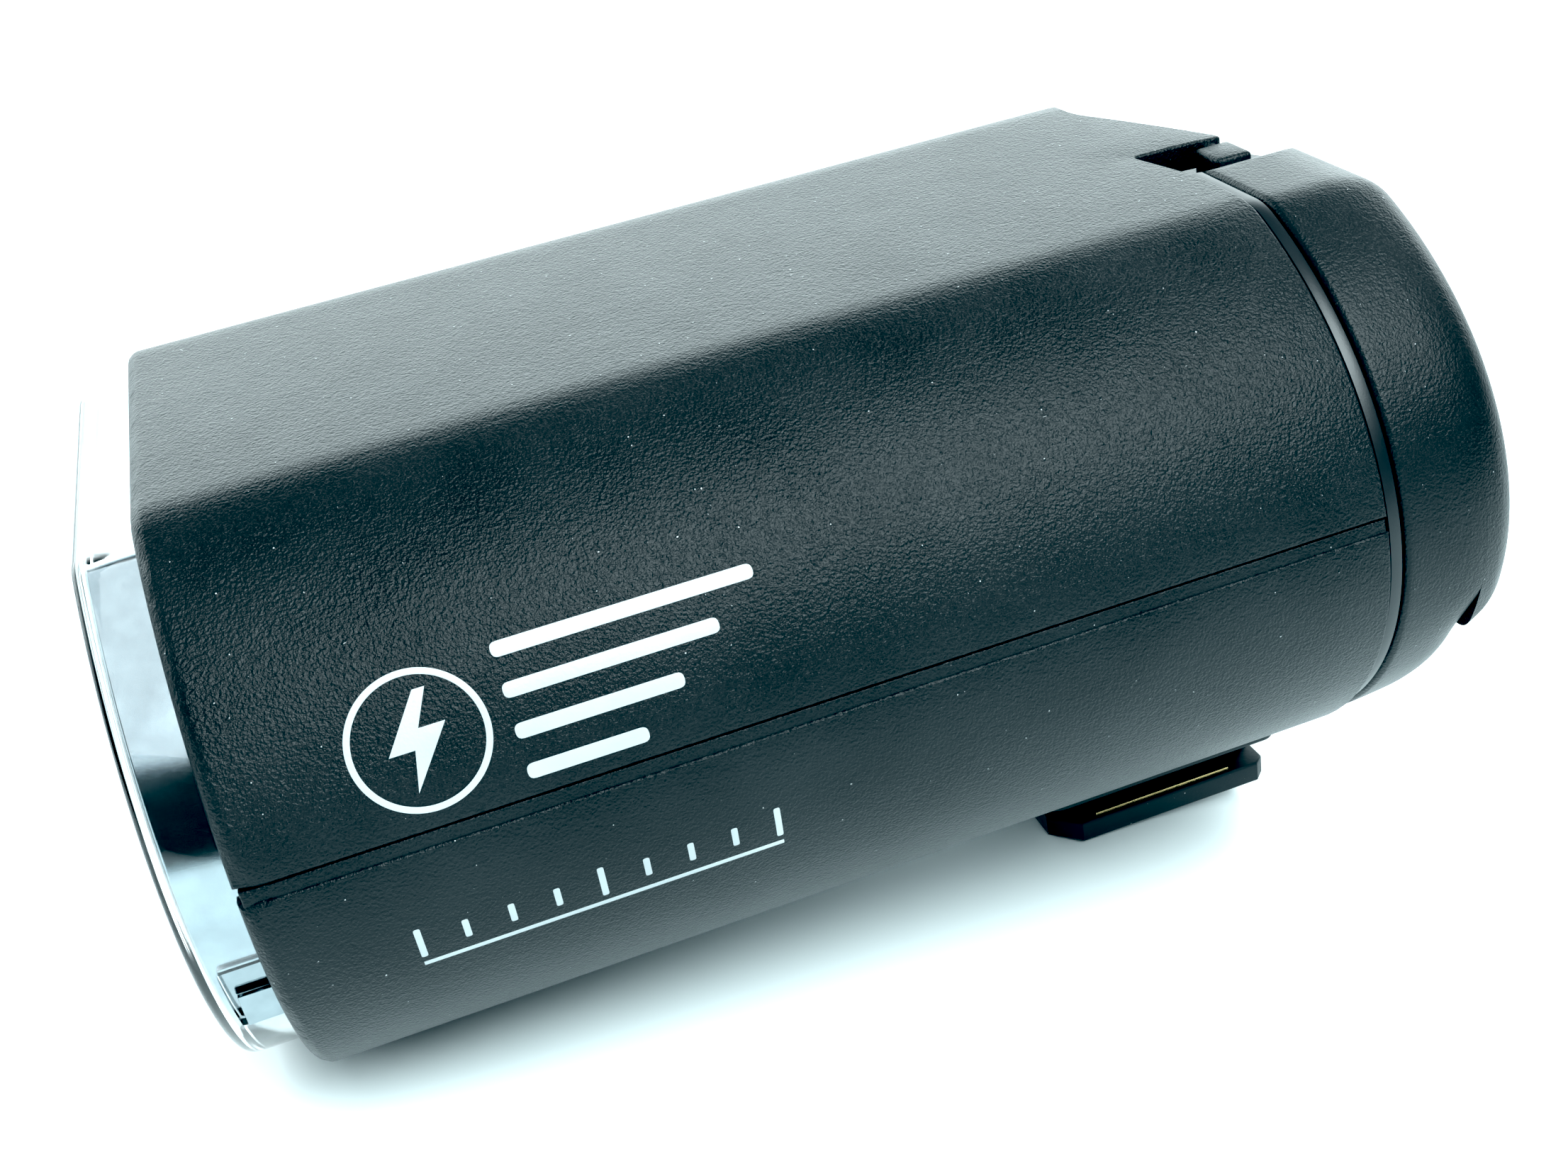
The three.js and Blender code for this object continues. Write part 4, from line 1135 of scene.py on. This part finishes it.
def build_slider(part, name, body, node_name):
    start, knob = part["x"] - part["travel"] / 2, part["knob"]
    bodies = [
        rounded((start - knob, start + knob), (-0.9, 0.75), (-1.6, 1.6), 0.2),
        rounded((start - knob - 0.7, start + knob + 0.7), (-2.4, -1.7), (-2.6, 2.6), 0.15),
        rounded((start - knob + 0.2, start + knob - 0.2), (-2, 0), (-1.3, 1.3), 0.1),
    ]
    for offset in np.arange(-knob + 0.5, knob - 0.3, 0.6):
        x = start + offset
        bodies.append(rounded((x - 0.16, x + 0.16), (0.5, 1.0), (-1.5, 1.5), 0.12))
    make(name, *on_panel(joined(*bodies)), GREY, body, "grey_plastic", [node_name])


def build_controls():
    build_panel()
    build_slider(POWER, "power_slider_cap", "power_slider", "power_switch")
    build_slider(SELECTOR, "aperture_slider_cap", "aperture_slider", "aperture_selector")
    r = BUTTON["radius"]
    cap = [(-1.9, 0), (-1.9, r), (0.3, r), (0.6, r - 0.12), (0.76, r - 0.5), (0.72, r - 1.2), (0.6, 0)]
    cap_body = turned(cap, "y", (0, BUTTON["x"]), 64)
    make("button_cap", *on_panel(cap_body), WHITE, "button", "white_plastic", ["test_button"])
    spring_body = coil("y", 1.4, 0.12, 2.5, (-3, -2.1), (BUTTON["x"], 0))
    make("button_coil", *on_panel(spring_body), STEEL, "button", "steel", ["button_spring"])
    lens = [(-2.4, 0), (-2.4, 1.3), (-0.2, 1.4), (0.0, 1.3), (0.2, 0.95), (0.3, 0.4), (0.3, 0)]
    lamp_body = turned(lens, "y", (0, LAMP["x"]), 40)
    make("lamp_lens", *on_panel(lamp_body), LAMP_RED, "case", "lamp_red", ["ready_lamp"])
    socket_x = SOCKET_X - PANEL_MIDDLE[0]
    rim = [(0.6, 3), (0.95, 2.85), (1.05, 2.6), (1.05, 1.6), (0.9, 1.35)]
    jack_body = turned([(-5, 0), (-5, 3), *rim, (-4, 1.3), (-4, 0)], "y", (0, socket_x), 56)
    make("sync_jack", *on_panel(jack_body), STEEL, "case", "steel", ["sync_socket"])
    pin_body = turned([(-4.1, 0), (-4.1, 0.4), (0.0, 0.4), (0.2, 0.25), (0.25, 0)], "y", (0, socket_x), 24)
    make("sync_jack_pin", *on_panel(pin_body), BRASS, "case", "contact_brass")


# ---- The shoe foot
FOOT = {"front": 62.1, "rear": 82.6, "half": 9.3, "bottom": -34.3}
SOLE = {"thickness": 2.0, "chamfer": 2.4, "neck": 6.2}
PEDESTAL = {"bottom": -29.9, "front": 61.0, "rear": 83.4, "half": 9.8}
CONTACT_X = 69.1
FOOT_SCREWS = [(78, -3.4), (78, 3.4)]


def build_foot():
    front, rear, half, bottom = FOOT.values()
    thick, chamfer, neck = SOLE.values()
    plan = [(front, -half + chamfer), (front + chamfer, -half), (rear - 0.9, -half), (rear, -half + 0.9)]
    plan += [(rear, half - 0.9), (rear - 0.9, half), (front + chamfer, half), (front, half - chamfer)]
    holes = [circle(CONTACT_X, 0, 1.6, 40)] + [circle(x, y, 1.9, 40) for x, y in FOOT_SCREWS]
    sole = plate(plan, flat("z", bottom), thick, edge=0.2, back=0.3, holes=holes, step=2)
    post = soft_corners(rectangle(front + 1, rear, -neck, neck), 0.4, 3)
    holes = [circle(CONTACT_X, 0, 1.6, 40)] + [circle(x, y, 1.1, 32) for x, y in FOOT_SCREWS]
    stem = plate(post, flat("z", bottom + 1.2), 3.0, edge=0.02, holes=holes, step=2)
    make("foot_shoe", *joined(sole, stem), FOOT_BLACK, "case", "black_case", ["shoe_foot"])
    build_pedestal()
    for i, (x, y) in enumerate(FOOT_SCREWS):
        head = [(bottom + 0.2, 0), (bottom + 0.2, 1.2), (bottom + 0.35, 1.55), (-33.4, 1.6), (-33.4, 0.8)]
        screw = turned(head + [(-27.2, 0.8), (-27, 0.6), (-27, 0)], "z", (x, y), 40)
        piece = make(f"foot_screw_head_{i + 1}", *screw, STEEL, "case", "steel", [f"foot_screw_{i + 1}"])
        cut(piece, cross_slot(x, y, bottom + 0.1, bottom + 0.75, 1.1, 0.22))
    tip = [(0.02, 0), (0.02, 0.85), (0.2, 1.15), (0.4, 1.2)]
    pin = [(bottom + s, r) for s, r in tip] + [(-29.7, 1.2), (-29.7, 1.9), (-29, 1.9), (-29, 0)]
    plunger = turned(pin, "z", (CONTACT_X, 0), 40)
    make("contact_plunger", *plunger, BRASS, "centre_contact", "contact_brass", ["contact_pin"])
    spring = coil("z", 1.3, 0.18, 3.5, (-28.8, -26), (CONTACT_X, 0))
    piece = make("contact_coil", *spring, STEEL, "case", "steel", ["contact_spring"])
    shortened(piece)


def cross_slot(x, y, low, high, reach, half):
    """Two crossing cutters for a screw head."""
    return [
        rounded((x - reach, x + reach), (y - half, y + half), (low, high), 0.02),
        rounded((x - half, x + half), (y - reach, y + reach), (low, high), 0.02),
    ]


def build_pedestal():
    bottom, front, rear, half = PEDESTAL.values()
    under = np.array([on_case(arc_near(y, -BOTTOM_FLAT)) for y in np.linspace(-12, 12, 49)])

    def place(u, v, depth):
        top = np.interp(v, under[:, 0], under[:, 1]) + 0.05
        share = depth / 5.0
        return np.column_stack([u, v, bottom + (top - bottom) * share])

    plan = soft_corners(rectangle(front, rear, -half, half), [2.2, 1.2, 1.2, 2.2], 6)
    holes = [circle(CONTACT_X, 0, 2.3, 32)] + [circle(x, y, 1.1, 24) for x, y in FOOT_SCREWS]
    grid = ([70, 76], np.arange(-8, 9, 2.0))
    body = plate(plan, place, 5.0, edge=0.3, holes=holes, step=1.5, grid=grid)
    make("pedestal_block", *body, FOOT_BLACK, "case", "black_case", ["foot_pedestal"])


# ---- Screws, cells and springs
def build_case_screws():
    head = [(-22.8, 0), (-22.8, 1.9), (-22.6, 2.45), (-22.3, 2.6), (-21.5, 2.6)]
    shank = [(-21.5, 1.0), (-16.6, 1.0), (-16.4, 0.8), (-16.4, 0)]
    for i, (x, y) in enumerate(SCREWS):
        screw = turned(head + shank, "z", (x, y), 40)
        piece = make(f"case_screw_head_{i + 1}", *screw, STEEL, "case", "steel", [f"case_screw_{i + 1}"])
        cut(piece, cross_slot(x, y, -23, -22.1, 1.6, 0.32))


CELL = {"radius": 7.15, "front": 29.0, "length": 50.5, "pitch": 15.4, "y": 8.5}
CELL_PLACES = [(-1, 1, True), (-1, -1, False), (1, -1, True), (1, 1, False)]
CELL_BASE = [(0, 0), (0, 4.6), (0.25, 5.0), (0.25, 6.5), (0.45, 7.0), (0.8, CELL["radius"])]
CELL_SHOULDER = [(48.7, CELL["radius"]), (49.1, 6.9), (49.3, 6.3), (49.15, 5.6), (49.15, 2.8)]
CELL_BUTTON = [(49.4, 2.6), (50.3, 2.6), (50.5, 2.35), (50.5, 0)]


def build_cells():
    """Four cells, each given by its side, its level and whether its button is to the rear."""
    jacket = cell_jacket()
    for i, (side, level, rearwards) in enumerate(CELL_PLACES):
        y, z = CELL["y"] + side * CELL["pitch"] / 2, level * CELL["pitch"] / 2
        start, length = CELL["front"], CELL["length"]
        profile = CELL_BASE + CELL_SHOULDER + CELL_BUTTON
        if rearwards:
            stations = [(start + s, q) for s, q in profile]
        else:
            stations = [(start + length - s, q) for s, q in profile]
        can = turned(stations, "x", (y, z), 64)
        make(f"cell_can_{i + 1}", *can, jacket, "case", "cell_jacket", [f"cell_{i + 1}"])
        ends = (26.8, start - 0.2) if rearwards else (start + length + 0.2, 81.2)
        turns = 2.5 if rearwards else 2
        body = "case" if rearwards else "hatch"
        spring = coil("x", 2.6, 0.25, turns, ends, (y, z))
        make(f"cell_coil_{i + 1}", *spring, STEEL, body, "steel", [f"cell_spring_{i + 1}"])


def cell_jacket():
    """A shrink sleeve, dark blue with a silver band, bare steel at both ends of the can."""
    steel, blue, band = (0.55, 0.56, 0.58), (0.02, 0.05, 0.16), (0.55, 0.57, 0.60)
    x0 = BARREL.x + CELL["front"] * MM
    stops = [(0.0, steel), (0.02, blue), (0.16, band), (0.20, blue)]
    stops += [(0.80, band), (0.84, blue), (0.98, steel)]
    return banded("cell_jacket", stops, 0.28, "X", 0.2, x0, x0 + CELL["length"] * MM)


# ---- The silver print: a bolt in a circle with stripes above the seam, and dashes below it
PRINT_BAND = {"left": 8.7, "right": 36.0, "top": 13.6, "bottom": 5.7}
BOLT = [(0.5, 3.1), (-2.0, -0.5), (-0.35, -0.5), (-0.9, -3.1), (1.9, 0.75), (0.2, 0.75), (1.3, 3.1)]


def case_film(middle, depth_under):
    """place() for print on the near side: u runs along the case and v up from a middle line."""
    return lambda u, v, depth: place_case(middle - v, u, depth - depth_under)


def build_print():
    middle_z = (PRINT_BAND["top"] + PRINT_BAND["bottom"]) / 2
    middle = arc_at_height(middle_z, -1)
    height = arc_at_height(PRINT_BAND["bottom"], -1) - arc_at_height(PRINT_BAND["top"], -1)
    film = case_film(middle, 0.022)
    radius = height / 2
    left = PRINT_BAND["left"] + radius
    bodies = [
        printed(circle(left, 0, radius, 96), film, 0.6, [circle(left, 0, radius - 0.42, 96)]),
        printed(np.array(BOLT) + [left, 0], film, 0.6),
    ]
    start = left + radius + 1.2
    for row, share in ((0, 1.0), (1, 0.82), (2, 0.64), (3, 0.46)):
        v = radius - 0.55 - row * (height - 1.1) / 3
        bar = rectangle(start, start + (PRINT_BAND["right"] - start) * share, v - 0.5, v + 0.5)
        bodies.append(printed(soft_corners(bar, 0.45, 4), film, 0.8))
    make("silver_emblem", *joined(*bodies), SILVER_PRINT, "case", smooth=60)
    film = case_film(arc_at_height(-3.4, -1), 0.018)
    dashes = []
    for i in range(9):
        x = 9.5 + i * 3.0
        tall = 1.3 if i % 4 == 0 else 0.8
        dash = rectangle(x - 0.22, x + 0.22, -tall, tall)
        dashes.append(printed(soft_corners(dash, 0.15, 3), film, 0.8))
    dashes.append(printed(rectangle(9.3, 33.7, -2.15, -1.8), film, 0.8))
    make("silver_scale", *joined(*dashes), SILVER_PRINT, "case", smooth=60)


# ---- Finishes of the CAD nodes that stay as they are
STEEL_PARTS = ["cage_contact_1", "cage_contact_2", "hatch_contact_1", "hatch_contact_2"]
PLAIN_FINISHES = [
    (GREY, ["battery_cage", "capacitor_cradle"]),
    (STEEL, STEEL_PARTS + ["transformer_core"]),
    (SLEEVE, ["main_capacitor"]),
    (BOARD, ["circuit_board", "switch_board"]),
    (SATIN_BLACK, ["switching_transistor"]),
    (COPPER, ["transformer_winding", "trigger_coil"]),
    (RED_RUBBER, ["trigger_lead"]),
    (BRASS, ["ground_strip_near", "ground_strip_far"]),
]


def finish_nodes():
    for look, names in PLAIN_FINISHES:
        for name in names:
            mesh = frame["nodes"][name].data
            mesh.materials.clear()
            mesh.materials.append(look)


# ---- Floor, lights and camera
REST_FRONT = (0.4, -24.9)  # x, z of the case's front rim, one of the two lines it rests on
REST_FOOT = (62.1, -34.35)  # x, z of the foot's front edge, the other one


def build_floor():
    """A pale floor, tilted so that the level flash rests on it nose down."""
    slope = math.atan2(REST_FOOT[1] - REST_FRONT[1], REST_FOOT[0] - REST_FRONT[0])
    made, surface = shader("pale_floor", (0.80, 0.88, 0.90), 0.55)
    tone = spread(made, noise(made, 60.0, 2.0), 0, 1)
    vary_color(made, surface, tone, (0.80, 0.885, 0.90), (0.82, 0.90, 0.915))
    surface.inputs["Specular IOR Level"].default_value = 0.15
    mesh = bpy.data.meshes.new("floor")
    half = 6.0
    corners = [(x, y, 0) for x, y in rectangle(-half, half, -half, half)]
    mesh.from_pydata(corners, [], [(0, 1, 2, 3)])
    mesh.materials.append(made)
    floor = in_scene("floor", mesh)
    touch = Vector(world([REST_FRONT[0], 0, REST_FRONT[1]]))
    floor.matrix_world = Matrix.Translation(touch) @ Matrix.Rotation(-slope, 4, "Y")


def direction(azimuth, elevation):
    a, e = math.radians(azimuth), math.radians(elevation)
    return Vector((math.sin(a) * math.cos(e), -math.cos(a) * math.cos(e), math.sin(e)))


def area_light(name, azimuth, elevation, distance, size, power, color=(1, 1, 1)):
    """A soft box seen from the object at an azimuth and elevation, aimed at it."""
    lamp = bpy.data.lights.new(name, "AREA")
    lamp.shape = "RECTANGLE"
    lamp.size, lamp.size_y = size
    lamp.energy = power
    lamp.color = color
    light = in_scene(name, lamp)
    centre = Vector(world([44, 0, 0]))
    back = direction(azimuth, elevation)
    light.location = centre + back * distance
    light.rotation_mode = "QUATERNION"
    light.rotation_quaternion = (-back).to_track_quat("-Z", "Y")
    return light


ROOM = {"back": 5.0, "zenith": 0.2, "front": 0.02}  # brightness of the room's parts
COOL = (0.84, 0.98, 1.0)
SEEN = (0.90, 0.97, 0.98)  # the room's colour where the camera looks straight at it


def build_world():
    """A room that is bright behind and dim in front, and pale where the camera sees it."""
    room = bpy.data.worlds.new("room")
    bpy.context.scene.world = room
    room.use_nodes = True
    room.node_tree.nodes.clear()
    where = node(room, "ShaderNodeTexCoord")
    parts = node(room, "ShaderNodeSeparateXYZ")
    link(room, where.outputs["Generated"], parts.inputs["Vector"])
    behind = spread(room, parts.outputs["Y"], 0.0, 1.0, 0.05, 0.6)
    low = spread(room, parts.outputs["Z"], ROOM["back"], ROOM["zenith"], 0.4, 0.72)
    product = node(room, "ShaderNodeMath", operation="MULTIPLY")
    for value, slot in ((behind, 0), (low, 1)):
        value.node.interpolation_type = "SMOOTHSTEP"
        link(room, value, product.inputs[slot])
    total = node(room, "ShaderNodeMath", operation="ADD")
    total.inputs[1].default_value = ROOM["front"]
    link(room, product.outputs[0], total.inputs[0])
    lit = node(room, "ShaderNodeBackground", Color=(*COOL, 1))
    link(room, total.outputs[0], lit.inputs["Strength"])
    seen = node(room, "ShaderNodeBackground", Color=(*SEEN, 1))
    mix = node(room, "ShaderNodeMixShader")
    link(room, node(room, "ShaderNodeLightPath").outputs["Is Camera Ray"], mix.inputs["Fac"])
    link(room, lit.outputs["Background"], mix.inputs[1])
    link(room, seen.outputs["Background"], mix.inputs[2])
    output = node(room, "ShaderNodeOutputWorld")
    link(room, mix.outputs["Shader"], output.inputs["Surface"])


def build_lights():
    area_light("front_box", 24, 50, 0.9, (0.7, 0.4), 16.0, COOL)
    ceiling = area_light("ceiling", -20, 80, 1.3, (2.2, 2.2), 42, (0.93, 0.99, 1.0))
    ceiling.visible_glossy = False


CAMERA = {"azimuth": -12.84, "elevation": 29.95, "roll": -10.9, "distance": 149.85, "lens": 41.75}
CAMERA_TARGET = (44.28, 0, -5.85)


def build_camera():
    eye = bpy.data.cameras.new("camera")
    eye.lens = CAMERA["lens"]
    eye.sensor_width = 36
    eye.clip_start = 0.005
    camera = in_scene("camera", eye)
    back = direction(CAMERA["azimuth"], CAMERA["elevation"])
    right = (-back).cross(Vector((0, 0, 1))).normalized()
    up = right.cross(-back)
    roll = math.radians(CAMERA["roll"])
    across = right * math.cos(roll) + up * math.sin(roll)
    upward = up * math.cos(roll) - right * math.sin(roll)
    turn = Matrix((across, upward, back)).transposed().to_4x4()
    place = Vector(world(CAMERA_TARGET)) + back * CAMERA["distance"] * MM
    camera.matrix_world = Matrix.Translation(place) @ turn
    bpy.context.scene.camera = camera


def set_tones():
    view = bpy.context.scene.view_settings
    view.view_transform = "Standard"
    view.look = "None"
    view.exposure = 0.0
    view.gamma = 1.0
    view.use_curve_mapping = True
    view.curve_mapping.black_level = (0.028, 0.017, 0.012)
    view.curve_mapping.update()


build_camera()
build_upper_shell()
build_lower_shell()
build_collar()
build_window()
build_frame()
build_reflector()
build_tube()
build_hatch()
build_calculator()
build_latch()
build_controls()
build_foot()
build_case_screws()
build_cells()
build_print()
finish_nodes()
build_floor()
build_world()
build_lights()
set_tones()
